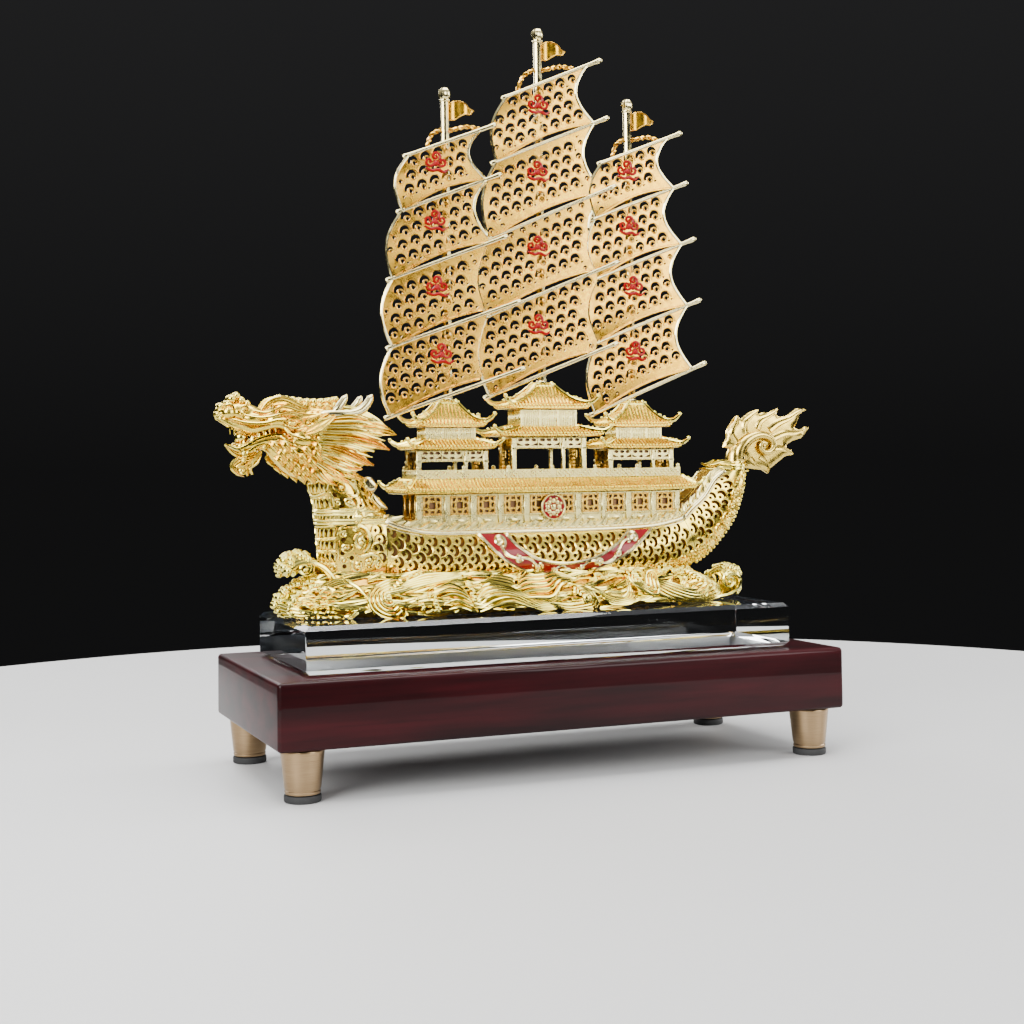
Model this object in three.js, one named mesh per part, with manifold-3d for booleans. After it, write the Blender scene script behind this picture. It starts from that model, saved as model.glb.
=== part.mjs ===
// A gilded dragon boat ornament with three masts, riding on cast waves.
// The waves are glued on a crystal block, and the block on a lacquered wooden plinth with four feet.
// Millimetres, +Z up. The dragon's nose points along -X, its tail along +X, and port is -Y.
// The origin is on the table, under the middle of the ornament's box.

import * as THREE from "three";
import { mergeVertices } from "three/addons/utils/BufferGeometryUtils.js";
import Module from "manifold-3d";

const wasm = await Module();
wasm.setup();

// Driving dimensions
const GAP = 0.3;
const BOAT_LENGTH = 260;
const BOAT_WIDTH = 49.5;
const BOAT_HEIGHT = 235;
const PLINTH = { x: -3.5, length: 230, width: 100, height: 24, edge: 1.6 };
const FOOT = { height: 16, top: 7.9, bottom: 6.3, pad: 2.5, padRadius: 6.6, x: 104.1, y: 40.8 };
const CRYSTAL = { x: -5.1, y: -1.7, length: 200, width: 70, height: 17.5, chamfer: 1.6 };

const PLINTH_BOTTOM = FOOT.height + FOOT.pad;
const PLINTH_TOP = PLINTH_BOTTOM + PLINTH.height;
const WATER = PLINTH_TOP + CRYSTAL.height;
const NOSE_X = -BOAT_LENGTH / 2;
const TAIL_X = BOAT_LENGTH / 2;
const MAST_TOP = WATER + BOAT_HEIGHT;

const HULL = { bow: -65.7, stern: 62, rim: 90.6, keel: 69, floor: 76 };
const HOLD = { halfX: 58, floorHalf: 7.6, waistHalf: 8.6, topHalf: 8.4, waist: 6, top: 98.6 };
const DECK = { z: 91.2, thick: 1, halfX: 57.4, halfY: 8 };
const GUNWALE = { bottom: 86, top: 96.6, thick: 1, sternGate: 2 };
const CABIN = { x: 4.1, bay: 22.6, bays: 5, halfWidth: 8, wall: 1, bottom: 92.5, top: 105.6 };
const WINDOW = { size: 7, z: 101.4, inset: 5.65 };
const MEDALLION = { z: 99.9, radius: 5.4, thick: 1 };
const UPPER_DECK = 111.3;
const RAIL = { height: 5, thick: 0.8, halfY: 8.6 };

// How far cutting bodies reach past the boat, across it and above its hull.
const REACH = { halfX: 80, halfY: 20, top: 120 };

const GOLD = { color: 0xe2b04a, roughness: 0.22, metalness: 1 };
const PALE_GOLD = { color: 0xd9cda2, roughness: 0.34, metalness: 1 };
const RED_ENAMEL = { color: 0x9c1020, roughness: 0.15, metalness: 0 };
const CRYSTAL_GLASS = { color: 0xdcecef, roughness: 0.02, metalness: 0 };
const LACQUERED_WOOD = { color: 0x3a0d12, roughness: 0.12, metalness: 0 };
const BRUSHED_METAL = { color: 0xb9ab92, roughness: 0.35, metalness: 1 };
const BLACK_RUBBER = { color: 0x141414, roughness: 0.8, metalness: 0 };

const boat = new THREE.Group();

// Solids and meshes

function solid(geometry) {
  const bare = geometry.clone();
  bare.deleteAttribute("normal");
  bare.deleteAttribute("uv");
  const merged = mergeVertices(bare, 1e-4);
  const mesh = new wasm.Mesh({
    numProp: 3,
    vertProperties: new Float32Array(merged.attributes.position.array),
    triVerts: new Uint32Array(merged.index.array),
  });
  return new wasm.Manifold(mesh);
}

function geometryOf(body) {
  const mesh = body.getMesh();
  const geometry = new THREE.BufferGeometry();
  const positions = new Float32Array(mesh.vertProperties);
  geometry.setAttribute("position", new THREE.BufferAttribute(positions, 3));
  geometry.setIndex(new THREE.BufferAttribute(new Uint32Array(mesh.triVerts), 1));
  geometry.computeVertexNormals();
  return geometry;
}

function add(name, body, finish) {
  const mesh = new THREE.Mesh(geometryOf(body), new THREE.MeshStandardMaterial(finish));
  mesh.name = name;
  boat.add(mesh);
}

function join(bodies) {
  return bodies.reduce((sum, body) => sum.add(body));
}

function signedVolume(positions, faces) {
  const corner = (index) => new THREE.Vector3().fromArray(positions, 3 * index);
  let volume = 0;
  for (let f = 0; f < faces.length; f += 3) {
    const [a, b, c] = [faces[f], faces[f + 1], faces[f + 2]].map(corner);
    volume += a.dot(b.cross(c)) / 6;
  }
  return volume;
}

// A closed body from points and triangles, turned so that its faces point out.
function closedBody(positions, faces) {
  if (signedVolume(positions, faces) < 0) {
    for (let f = 0; f < faces.length; f += 3) {
      [faces[f], faces[f + 1]] = [faces[f + 1], faces[f]];
    }
  }
  const geometry = new THREE.BufferGeometry();
  geometry.setAttribute("position", new THREE.Float32BufferAttribute(positions, 3));
  geometry.setIndex(faces);
  return solid(geometry);
}

// A body through rings that have the same number of points, closed by a fan at each end.
function loft(rings) {
  const count = rings[0].length;
  const positions = rings.flat(2);
  const faces = [];
  for (let r = 0; r + 1 < rings.length; r += 1) {
    for (let i = 0; i < count; i += 1) {
      const a = r * count + i;
      const b = r * count + ((i + 1) % count);
      faces.push(a, b, b + count, a, b + count, a + count);
    }
  }
  const last = rings.length - 1;
  for (const [ring, flip] of [[0, true], [last, false]]) {
    const middle = positions.length / 3;
    for (let axis = 0; axis < 3; axis += 1) {
      positions.push(rings[ring].reduce((sum, point) => sum + point[axis], 0) / count);
    }
    for (let i = 0; i < count; i += 1) {
      const a = ring * count + i;
      const b = ring * count + ((i + 1) % count);
      faces.push(...(flip ? [middle, b, a] : [middle, a, b]));
    }
  }
  return closedBody(positions, faces);
}

function box([x0, x1], [y0, y1], [z0, z1]) {
  const geometry = new THREE.BoxGeometry(x1 - x0, y1 - y0, z1 - z0);
  geometry.translate((x0 + x1) / 2, (y0 + y1) / 2, (z0 + z1) / 2);
  return solid(geometry);
}

// An outline in the X-Z plane, given as [x, z] points, made thick between two Y values.
function side(points, y0, y1) {
  const shape = new THREE.Shape(points.map(([x, z]) => new THREE.Vector2(x, z)));
  const geometry = new THREE.ExtrudeGeometry(shape, { depth: y1 - y0, bevelEnabled: false });
  geometry.rotateX(Math.PI / 2);
  geometry.translate(0, y1, 0);
  return solid(geometry);
}

// A tapering round bar through points, each given as [x, y, z, radius].
function bar(points, sides = 8) {
  const path = points.map(([x, y, z]) => new THREE.Vector3(x, y, z));
  const rings = path.map((point, i) => {
    const before = path[Math.max(i - 1, 0)];
    const after = path[Math.min(i + 1, path.length - 1)];
    const along = after.clone().sub(before).normalize();
    const across = new THREE.Vector3(0, 1, 0).cross(along);
    if (across.length() < 0.1) {
      across.set(1, 0, 0).cross(along);
    }
    across.normalize();
    const up = along.clone().cross(across);
    return Array.from({ length: sides }, (_, k) => {
      const angle = (2 * Math.PI * k) / sides;
      const radius = points[i][3];
      return point.clone()
        .addScaledVector(across, radius * Math.cos(angle))
        .addScaledVector(up, radius * Math.sin(angle))
        .toArray();
    });
  });
  return loft(rings);
}

// A flat ring of points: an ellipse squared off by its power, 2 for a true ellipse.
function ovalRing(x, y, z, halfX, halfY, power = 2, count = 24) {
  return Array.from({ length: count }, (_, k) => {
    const angle = (2 * Math.PI * (k + 0.5)) / count;
    const [c, s] = [Math.cos(angle), Math.sin(angle)];
    const reach = (Math.abs(c) ** power + Math.abs(s) ** power) ** (-1 / power);
    return [x + halfX * reach * c, y + halfY * reach * s, z];
  });
}

function boxRing(x, y, z, halfX, halfY) {
  return [
    [x - halfX, y - halfY, z],
    [x + halfX, y - halfY, z],
    [x + halfX, y + halfY, z],
    [x - halfX, y + halfY, z],
  ];
}

// A box whose edges are cut off by a small slope, top and bottom.
function edgedBlock(x, y, z0, z1, length, width, edge) {
  const [halfX, halfY] = [length / 2, width / 2];
  return loft([
    boxRing(x, y, z0, halfX - edge, halfY - edge),
    boxRing(x, y, z0 + edge, halfX, halfY),
    boxRing(x, y, z1 - edge, halfX, halfY),
    boxRing(x, y, z1, halfX - edge, halfY - edge),
  ]);
}

// Plinth, feet and crystal

function buildStand() {
  add("plinth", edgedBlock(
    PLINTH.x, 0, PLINTH_BOTTOM, PLINTH_TOP, PLINTH.length, PLINTH.width, PLINTH.edge,
  ), LACQUERED_WOOD);
  for (const [end, sx] of [["bow", -1], ["stern", 1]]) {
    for (const [flank, sy] of [["port", -1], ["starboard", 1]]) {
      const x = PLINTH.x + sx * FOOT.x;
      const y = sy * FOOT.y;
      const top = PLINTH_BOTTOM - GAP;
      add(`foot_${end}_${flank}`, loft([
        ovalRing(x, y, FOOT.pad + GAP, FOOT.bottom, FOOT.bottom, 2, 20),
        ovalRing(x, y, top, FOOT.top, FOOT.top, 2, 20),
      ]), BRUSHED_METAL);
      add(`foot_pad_${end}_${flank}`, loft([
        ovalRing(x, y, 0, FOOT.padRadius, FOOT.padRadius, 2, 20),
        ovalRing(x, y, FOOT.pad, FOOT.padRadius, FOOT.padRadius, 2, 20),
      ]), BLACK_RUBBER);
    }
  }
  add("crystal_block", edgedBlock(
    CRYSTAL.x, CRYSTAL.y, PLINTH_TOP + GAP, WATER, CRYSTAL.length, CRYSTAL.width, CRYSTAL.chamfer,
  ), CRYSTAL_GLASS);
}

// Hull

// Cross sections of the hull: place along X, rim height, half widths at rim and belly, keel height.
const HULL_SECTIONS = [
  { x: HULL.bow, rim: 95.5, rimWidth: 7.4, belly: 9.6, keel: 72.5 },
  { x: -58, rim: 92.6, rimWidth: 9.6, belly: 12, keel: 70.5 },
  { x: -45, rim: HULL.rim, rimWidth: 10, belly: 14, keel: HULL.keel },
  { x: -20, rim: HULL.rim, rimWidth: 10.6, belly: 15.4, keel: HULL.keel },
  { x: 20, rim: HULL.rim, rimWidth: 10.6, belly: 15.4, keel: HULL.keel },
  { x: 45, rim: HULL.rim + 0.6, rimWidth: 10, belly: 14, keel: HULL.keel },
  { x: 56, rim: 92.8, rimWidth: 9.8, belly: 12.4, keel: 70.5 },
  { x: HULL.stern, rim: 94.6, rimWidth: 9.4, belly: 11, keel: 72 },
];

// Points of one cross section from the port rim round the keel to the starboard rim.
// Each row says how far down it is and which part of the rim and belly widths it has.
const HULL_OUTLINE = [
  { down: 0, rim: 1, belly: 0 },
  { down: 0.16, rim: 0.5, belly: 0.5 },
  { down: 0.42, rim: 0, belly: 1 },
  { down: 0.68, rim: 0, belly: 0.88 },
  { down: 0.9, rim: 0, belly: 0.6 },
  { down: 1, rim: 0, belly: 0.3 },
];

function hullRing(section, grow) {
  const depth = section.rim - section.keel;
  const flank = HULL_OUTLINE.map(({ down, rim, belly }) => ({
    width: rim * section.rimWidth + belly * section.belly + grow,
    z: section.rim - down * depth - (down > 0.5 ? grow : 0),
  }));
  const port = flank.map(({ width, z }) => [section.x, -width, z]);
  const starboard = flank.map(({ width, z }) => [section.x, width, z]).reverse();
  return [...port, ...starboard];
}

function hullBody(grow) {
  return loft(HULL_SECTIONS.map((section) => hullRing(section, grow)));
}

// The stern post curls up from the hull: place, direction of travel in degrees above +X, half sizes.
const STERN_SECTIONS = [
  { x: HULL.stern + GAP, z: 84.3, turn: 0, thick: 10.3, wide: 9.6 },
  { x: 73, z: 89.5, turn: 36, thick: 10.6, wide: 8.6 },
  { x: 81.3, z: 97.5, turn: 56, thick: 9.6, wide: 7.4 },
  { x: 87, z: 107, turn: 70, thick: 8.2, wide: 6 },
  { x: 91, z: 113.4, turn: 90, thick: 5.2, wide: 4.4 },
];

// The neck rises from the bow: place of each level ring and its half sizes.
const NECK_SECTIONS = [
  { x: -78, z: 76, along: 10, across: 8 },
  { x: -78.6, z: 84, along: 12, across: 9.4 },
  { x: -78, z: 94, along: 12.6, across: 9.6 },
  { x: -77.6, z: 104, along: 13.2, across: 9.2 },
  { x: -79.4, z: 112.7, along: 12.2, across: 8.6 },
];

function sternRing({ x, z, turn, thick, wide }) {
  const angle = THREE.MathUtils.degToRad(turn);
  return Array.from({ length: 16 }, (_, k) => {
    const around = (2 * Math.PI * k) / 16;
    const up = thick * Math.sin(around);
    return [x - up * Math.sin(angle), wide * Math.cos(around), z + up * Math.cos(angle)];
  });
}

// Spikes down the back of the neck: middle of the foot, and the tip.
const DORSAL_SPIKES = [
  { x: -66.5, z: 100.5, tipX: -62.4, tipZ: 99.4 },
  { x: -66.5, z: 107, tipX: -63.4, tipZ: 108.6 },
];
const SPIKE = { halfFoot: 4, root: 5, halfThick: 0.8 };
const NECK_STEP = 97;

function spikeBody({ x, z, tipX, tipZ }) {
  const outline = [[x, z - SPIKE.halfFoot], [tipX, tipZ], [x, z + SPIKE.halfFoot], [x - SPIKE.root, z]];
  return side(outline, -SPIKE.halfThick, SPIKE.halfThick);
}

function buildHull() {
  const aboveDeck = [DECK.z + DECK.thick, REACH.top];
  const well = box([-HOLD.halfX, HULL.stern + 1], [-HOLD.topHalf, HOLD.topHalf], aboveDeck);
  const cavity = loft([-HOLD.halfX, HOLD.halfX].map((x) => [
    [x, -HOLD.floorHalf, HULL.floor],
    [x, HOLD.floorHalf, HULL.floor],
    [x, HOLD.waistHalf, HULL.floor + HOLD.waist],
    [x, HOLD.topHalf, HOLD.top],
    [x, -HOLD.topHalf, HOLD.top],
    [x, -HOLD.waistHalf, HULL.floor + HOLD.waist],
  ]));
  add("hull", hullBody(0).subtract(cavity).subtract(well), GOLD);
  add("stern_post", loft(STERN_SECTIONS.map(sternRing)), GOLD);
  const neck = loft(NECK_SECTIONS.map(({ x, z, along, across }) => ovalRing(x, 0, z, along, across)));
  const hullSpace = box([HULL.bow - GAP, 0], [-REACH.halfY, REACH.halfY], [WATER, NECK_STEP]);
  add("dragon_neck", join([neck.subtract(hullSpace), ...DORSAL_SPIKES.map(spikeBody)]), GOLD);
  const deckHeight = [DECK.z, DECK.z + DECK.thick];
  add("deck", box([-DECK.halfX, DECK.halfX], [-DECK.halfY, DECK.halfY], deckHeight), PALE_GOLD);
  buildGunwale();
}

// The low wall along the hull's rim, with its crest band.
function buildGunwale() {
  const outer = HULL_SECTIONS.map(({ x, rimWidth }) => [x, rimWidth]);
  const outline = (inset) => {
    const clamp = (x) => THREE.MathUtils.clamp(x, HULL.bow + inset, HULL.stern - inset);
    const port = outer.map(([x, y]) => [clamp(x), -(y - inset)]);
    const starboard = outer.map(([x, y]) => [clamp(x), y - inset]).reverse();
    return [...port, ...starboard].map(([x, y]) => new THREE.Vector2(x, y));
  };
  const shape = new THREE.Shape(outline(0));
  shape.holes = [new THREE.Path(outline(GUNWALE.thick))];
  const depth = GUNWALE.top - GUNWALE.bottom;
  const geometry = new THREE.ExtrudeGeometry(shape, { depth, bevelEnabled: false });
  geometry.translate(0, 0, GUNWALE.bottom);
  const belowRim = box(
    [-REACH.halfX, REACH.halfX], [-REACH.halfY, REACH.halfY], [HULL.keel, HULL.rim + GAP],
  );
  const sternGate = box(
    [HULL.stern - GUNWALE.sternGate, HULL.stern + 1], [GAP - HOLD.waistHalf, HOLD.waistHalf - GAP],
    [HULL.keel, REACH.top],
  );
  const wall = solid(geometry).subtract(hullBody(GAP)).subtract(belowRim).subtract(sternGate);
  add("gunwale", wall, PALE_GOLD);
}

// Waves

// Outline of the cast waves by height: place of the middle, half sizes, how square it is,
// how far it ripples up and down, and how far it rises from the middle to the two ends.
const WAVE_LEVELS = [
  { x: -7, z: WATER + GAP, halfX: 99, halfY: 22.6, power: 3, ripple: 0, rise: 0 },
  { x: -7.4, z: 63, halfX: 102, halfY: BOAT_WIDTH / 2, power: 3, ripple: 0.4, rise: 1 },
  { x: -7.2, z: 66, halfX: 101.6, halfY: BOAT_WIDTH / 2, power: 3, ripple: 0.5, rise: 2 },
  { x: -6.6, z: 69, halfX: 99, halfY: 22, power: 2.8, ripple: 0.6, rise: 5 },
  { x: -6, z: 71.4, halfX: 95, halfY: 18.6, power: 2.6, ripple: 0.9, rise: 6 },
];

function waveRing({ x, z, halfX, halfY, power, ripple, rise }, lift) {
  const ring = ovalRing(x, 0, z, halfX, halfY, power, 60);
  return ring.map(([px, py, pz], k) => {
    const wave = ripple * Math.sin((2 * Math.PI * k * 9) / ring.length);
    const end = rise * ((px - x) / halfX) ** 4;
    return [px, py, pz + wave + end + lift];
  });
}

function moundBody(lift) {
  return loft(WAVE_LEVELS.map((level) => waveRing(level, lift)));
}

// Curling crests at the two ends. Reach is -1 where the crest rolls towards -X.
const CRESTS = [
  { name: "bow_wave_crest", x: -99.4, z: 79.6, size: 7.6, reach: -1 },
  { name: "stern_wave_crest", x: 88, z: 80.2, size: 4.4, reach: 1 },
];
const CREST = { halfY: 8, footHalfX: 5, footHalfY: 9, footBottom: 74 };

// Points of an arc in the X-Z plane, from one angle to another, in turns of 180 degrees.
function arcPoints({ x, z, radiusX, radiusZ, from, to, count }) {
  return Array.from({ length: count }, (_, k) => {
    const angle = Math.PI * (from + ((to - from) * k) / (count - 1));
    return [x + radiusX * Math.cos(angle), z + radiusZ * Math.sin(angle)];
  });
}

function crestBody({ x, z, size, reach }) {
  const outer = arcPoints({
    x, z, radiusX: reach * size * 0.75, radiusZ: size, from: -0.1, to: 1.15, count: 11,
  });
  const inner = arcPoints({
    x, z, radiusX: reach * size * 0.34, radiusZ: size * 0.5, from: 1.1, to: 0, count: 8,
  });
  const foot = box(
    [x - CREST.footHalfX, x + CREST.footHalfX], [-CREST.footHalfY, CREST.footHalfY],
    [CREST.footBottom, z + 1],
  );
  return side([...outer, ...inner], -CREST.halfY, CREST.halfY).add(foot);
}

function buildWaves() {
  const neckSpace = loft(NECK_SECTIONS.map(({ x, z, along, across }, level) => (
    ovalRing(x, 0, level === 0 ? z - GAP : z, along + GAP, across + GAP)
  )));
  const sternSpace = loft(STERN_SECTIONS.map((section) => (
    sternRing({ ...section, thick: section.thick + GAP, wide: section.wide + GAP })
  )));
  const bow = HULL_SECTIONS[0];
  const joinSpace = box(
    [HULL.bow - GAP, HULL.bow], [-bow.belly - GAP, bow.belly + GAP], [HULL.floor, bow.rim],
  );
  const bare = moundBody(0).subtract(hullBody(GAP)).subtract(neckSpace).subtract(sternSpace);
  add("wave_base", bare.subtract(joinSpace), GOLD);
  for (const crest of CRESTS) {
    add(crest.name, crestBody(crest).subtract(moundBody(GAP)), GOLD);
  }
}

// Cabin and upper deck

const CABIN_HALF = (CABIN.bay * CABIN.bays) / 2 + 1.2;

function bayMiddles() {
  return Array.from({ length: CABIN.bays }, (_, k) => CABIN.x + CABIN.bay * (k - (CABIN.bays - 1) / 2));
}

const CABIN_ROOF = { halfX: CABIN_HALF + 6.4, halfY: 15, topX: CABIN_HALF + 0.4, topY: 8.6, lift: 1.6 };

function buildCabin() {
  const half = WINDOW.size / 2;
  const across = [-REACH.halfY, REACH.halfY];
  const windows = join(bayMiddles().flatMap((x) => [x - WINDOW.inset, x + WINDOW.inset]).map((x) => (
    box([x - half, x + half], across, [WINDOW.z - half, WINDOW.z + half])
  )));
  const [x0, x1] = [CABIN.x - CABIN_HALF, CABIN.x + CABIN_HALF];
  const height = [CABIN.bottom, CABIN.top];
  const y = CABIN.halfWidth;
  add("cabin_wall_port", box([x0, x1], [-y, CABIN.wall - y], height).subtract(windows), PALE_GOLD);
  add("cabin_wall_starboard", box([x0, x1], [y - CABIN.wall, y], height).subtract(windows), PALE_GOLD);
  const inner = y - CABIN.wall - GAP;
  for (const [name, x] of [["cabin_wall_bow", x0], ["cabin_wall_stern", x1 - CABIN.wall]]) {
    add(name, box([x, x + CABIN.wall], [-inner, inner], [CABIN.bottom, CABIN.top]), GOLD);
  }
  const roofBottom = CABIN.top + GAP;
  add("cabin_roof", roofBody({
    x: CABIN.x, z: roofBottom, ...CABIN_ROOF, rise: UPPER_DECK - roofBottom,
  }), GOLD);
  buildBalustrade();
  buildMedallions();
}

// The round badge on each side of the cabin, seated over the middle windows.
function buildMedallions() {
  const disc = Array.from({ length: 24 }, (_, k) => {
    const angle = (2 * Math.PI * k) / 24;
    return [
      CABIN.x + MEDALLION.radius * Math.cos(angle),
      MEDALLION.z + MEDALLION.radius * Math.sin(angle),
    ];
  });
  const inner = CABIN.halfWidth + GAP;
  const outer = inner + MEDALLION.thick;
  add("medallion_port", side(disc, -outer, -inner), RED_ENAMEL);
  add("medallion_starboard", side(disc, inner, outer), RED_ENAMEL);
}

function buildBalustrade() {
  const [x0, x1] = [CABIN.x - CABIN_HALF, CABIN.x + CABIN_HALF];
  const z0 = UPPER_DECK + GAP;
  const z1 = z0 + RAIL.height;
  const innerHalfY = RAIL.halfY - RAIL.thick;
  const outer = box([x0, x1], [-RAIL.halfY, RAIL.halfY], [z0, z1]);
  const inner = box([x0 + RAIL.thick, x1 - RAIL.thick], [-innerHalfY, innerHalfY], [z0 - 1, z1 + 1]);
  add("balustrade", outer.subtract(inner), PALE_GOLD);
}

// A pagoda roof: flat below, hollow-sided above, with its corners swept up and out.
function roofRing(x, z, halfX, halfY, lift, flare) {
  const steps = 6;
  const corners = [[-1, -1], [1, -1], [1, 1], [-1, 1]];
  return corners.flatMap(([cx, cy], c) => {
    const [nx, ny] = corners[(c + 1) % 4];
    return Array.from({ length: steps }, (_, k) => {
      const t = k / steps;
      const sweep = Math.abs(2 * t - 1) ** 4;
      const px = (cx + (nx - cx) * t) * (halfX + flare * sweep);
      const py = (cy + (ny - cy) * t) * (halfY + flare * sweep);
      return [x + px, py, z + lift * sweep];
    });
  });
}

function roofBody({ x, z, halfX, halfY, lift, topX, topY, rise, socket = 0 }) {
  const eave = 0.9;
  const rings = [
    roofRing(x, z, topX, topY, 0, 0),
    roofRing(x, z, halfX, halfY, lift, 0.6),
    roofRing(x, z + eave, halfX, halfY, lift, 0.6),
  ];
  for (const t of [0.4, 0.75]) {
    const height = z + eave + (rise - eave) * t ** 1.7;
    const ring = roofRing(
      x, height, halfX + (topX - halfX) * t, halfY + (topY - halfY) * t, lift * (1 - t) ** 3, 0,
    );
    rings.push(ring);
  }
  rings.push(roofRing(x, z + rise, topX, topY, 0, 0));
  if (socket > 0) {
    rings.push(roofRing(x, z + rise + socket, topX * 0.85, topY * 0.85, 0, 0));
  }
  return loft(rings);
}

// Pavilions on the upper deck, all sizes from the middle of the pavilion at X.
const PAVILIONS = [
  {
    name: "fore", x: -37.8, lower: [15, 7], lowerTop: 122.8, skirt: [19.4, 11.6],
    upper: [10.6, 5], upperTop: 131.6, top: [16.4, 10], peak: 142.2,
  },
  {
    name: "middle", x: 3.5, lower: [16.4, 7], lowerTop: 127.8, skirt: [24.6, 12.6],
    upper: [12.4, 6.6], upperTop: 138.8, top: [19.6, 11.6], peak: 149.4,
  },
  {
    name: "aft", x: 44.6, lower: [15, 7], lowerTop: 122.8, skirt: [19.4, 11.6],
    upper: [10.6, 5], upperTop: 131.6, top: [16.4, 10], peak: 142.2,
  },
];
const PAVILION = { column: 2.2, frieze: 4, wall: 1, sill: 1, skirtLift: 1.9, topLift: 2.6, lap: 0.8 };
const SKIRT_RISE = 3.9;
const SOCKET = { halfX: 3.6, halfY: 3, height: 1.2 };

function wallTube(x, [halfX, halfY], z0, z1, wall) {
  const outer = box([x - halfX, x + halfX], [-halfY, halfY], [z0, z1]);
  const inner = box(
    [x - halfX + wall, x + halfX - wall], [wall - halfY, halfY - wall], [z0 - 1, z1 + 1],
  );
  return outer.subtract(inner);
}

function buildPavilion({ name, x, lower, lowerTop, skirt, upper, upperTop, top, peak }) {
  const { column, frieze, wall, sill, skirtLift, topLift, lap } = PAVILION;
  const floor = UPPER_DECK + GAP;
  const open = box(
    [x - lower[0] + column, x + lower[0] - column], [-REACH.halfY, REACH.halfY],
    [floor + sill, lowerTop - frieze],
  );
  const lowerWall = wallTube(x, lower, floor, lowerTop, wall);
  add(`${name}_pavilion_columns`, lowerWall.subtract(open), PALE_GOLD);
  const skirtBottom = lowerTop + GAP;
  add(`${name}_pavilion_skirt_roof`, roofBody({
    x, z: skirtBottom, halfX: skirt[0], halfY: skirt[1], lift: skirtLift,
    topX: upper[0] + lap, topY: upper[1] + lap, rise: SKIRT_RISE - GAP,
  }), GOLD);
  const wallBottom = lowerTop + SKIRT_RISE + GAP;
  add(`${name}_pavilion_upper_wall`, wallTube(x, upper, wallBottom, upperTop, wall), PALE_GOLD);
  add(`${name}_pavilion_top_roof`, roofBody({
    x, z: upperTop + GAP, halfX: top[0], halfY: top[1], lift: topLift,
    topX: SOCKET.halfX, topY: SOCKET.halfY, rise: peak - SOCKET.height - upperTop - GAP,
    socket: SOCKET.height,
  }), GOLD);
}

// Masts, sails and pennants

// Each mast, with its sail's five yards from the top down: left and right ends as [x, z].
const MASTS = [
  {
    name: "fore", x: -37.2, foot: 142.2, top: 267.4, stays: [[-45.4, 242.6], [-24, 251]],
    yards: [
      [[-55, 238.1], [-17.4, 252.8]],
      [[-57.9, 216], [-15.3, 233]],
      [[-62.2, 189.1], [-13, 208.2]],
      [[-62.5, 162.5], [-7.7, 182.3]],
      [[-63.5, 135.4], [-6.3, 155.4]],
    ],
  },
  {
    name: "main", x: 3.4, foot: 149.4, top: MAST_TOP, stays: [[-6.4, 268.4], [17.6, 278.8]],
    yards: [
      [[-13.1, 264.4], [29.6, 283]],
      [[-18, 237.7], [32.4, 259.2]],
      [[-21.6, 206.2], [35.4, 231.1]],
      [[-22.9, 175.1], [36.2, 199.7]],
      [[-22, 143.4], [35.3, 166.2]],
    ],
  },
  {
    name: "aft", x: 43.8, foot: 142.2, top: 269, stays: [[36, 244.2], [56, 252]],
    yards: [
      [[29.1, 240.3], [66.6, 255.3]],
      [[25.4, 217.1], [69.1, 234.3]],
      [[26.3, 192.3], [72.2, 210.8]],
      [[25.5, 165.6], [74.4, 185.1]],
      [[24.3, 136.7], [76.2, 158.6]],
    ],
  },
];
const MAST = { bottom: 1.9, top: 1.7, ball: 2.35 };
const YARD = { radius: 0.8, y: -3, slew: 0.055 };
const SHEET = { thick: 0.6, luff: 3.6, leech: 6, arch: 3, billow: 1.4, leftInset: 2, rightInset: 6 };
const STAY = { radius: 0.6, startY: -0.6, below: 17.4 };
const LUFF_SPACE = { clear: 0.5, above: 40, below: 20, behind: 80, halfY: 12 };

// Outline of the pennant: distance from the mast's side, and distance below the mast's top.
const PENNANT = [[0, 6.5], [4, 5], [10.6, 8.4], [6.5, 10], [3, 12.6], [0, 13]];
const PENNANT_HALF = 0.4;

function yardY(mast, x) {
  return YARD.y - YARD.slew * (x - mast.x);
}

function mastBody({ x, foot, top }) {
  const ballZ = top - MAST.ball;
  const neckZ = ballZ - Math.sqrt(MAST.ball ** 2 - MAST.top ** 2);
  const start = Math.asin((neckZ - ballZ) / MAST.ball);
  const ball = Array.from({ length: 7 }, (_, k) => {
    const angle = start + ((Math.PI / 2 - start) * k) / 7;
    return new THREE.Vector2(MAST.ball * Math.cos(angle), ballZ + MAST.ball * Math.sin(angle));
  });
  const profile = [
    new THREE.Vector2(0, foot + GAP),
    new THREE.Vector2(MAST.bottom, foot + GAP),
    new THREE.Vector2(MAST.top, neckZ - 0.1),
    ...ball,
    new THREE.Vector2(0, top),
  ];
  const geometry = new THREE.LatheGeometry(profile, 16);
  geometry.rotateX(Math.PI / 2);
  geometry.translate(x, 0, 0);
  return solid(geometry);
}

// Where a point of a sheet lies: u runs from luff to leech, v from the lower yard to the upper.
function sheetPoint(mast, row, u, v) {
  const ends = [mast.yards[row + 1], mast.yards[row]].map(([left, right]) => {
    const length = right[0] - left[0];
    const along = (SHEET.leftInset + u * (length - SHEET.leftInset - SHEET.rightInset)) / length;
    return [left[0] + along * length, left[1] + along * (right[1] - left[1])];
  });
  const swell = Math.sin(Math.PI * v);
  const straight = ends[0][0] + v * (ends[1][0] - ends[0][0]);
  const x = straight - swell * (SHEET.luff + u * (SHEET.leech - SHEET.luff));
  const arch = SHEET.arch * Math.sin(Math.PI * u) * (1 - v) ** 2;
  const z = ends[0][1] + v * (ends[1][1] - ends[0][1]) + arch;
  const y = yardY(mast, x) - SHEET.billow * swell * (1 - u);
  return [x, y, z];
}

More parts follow.
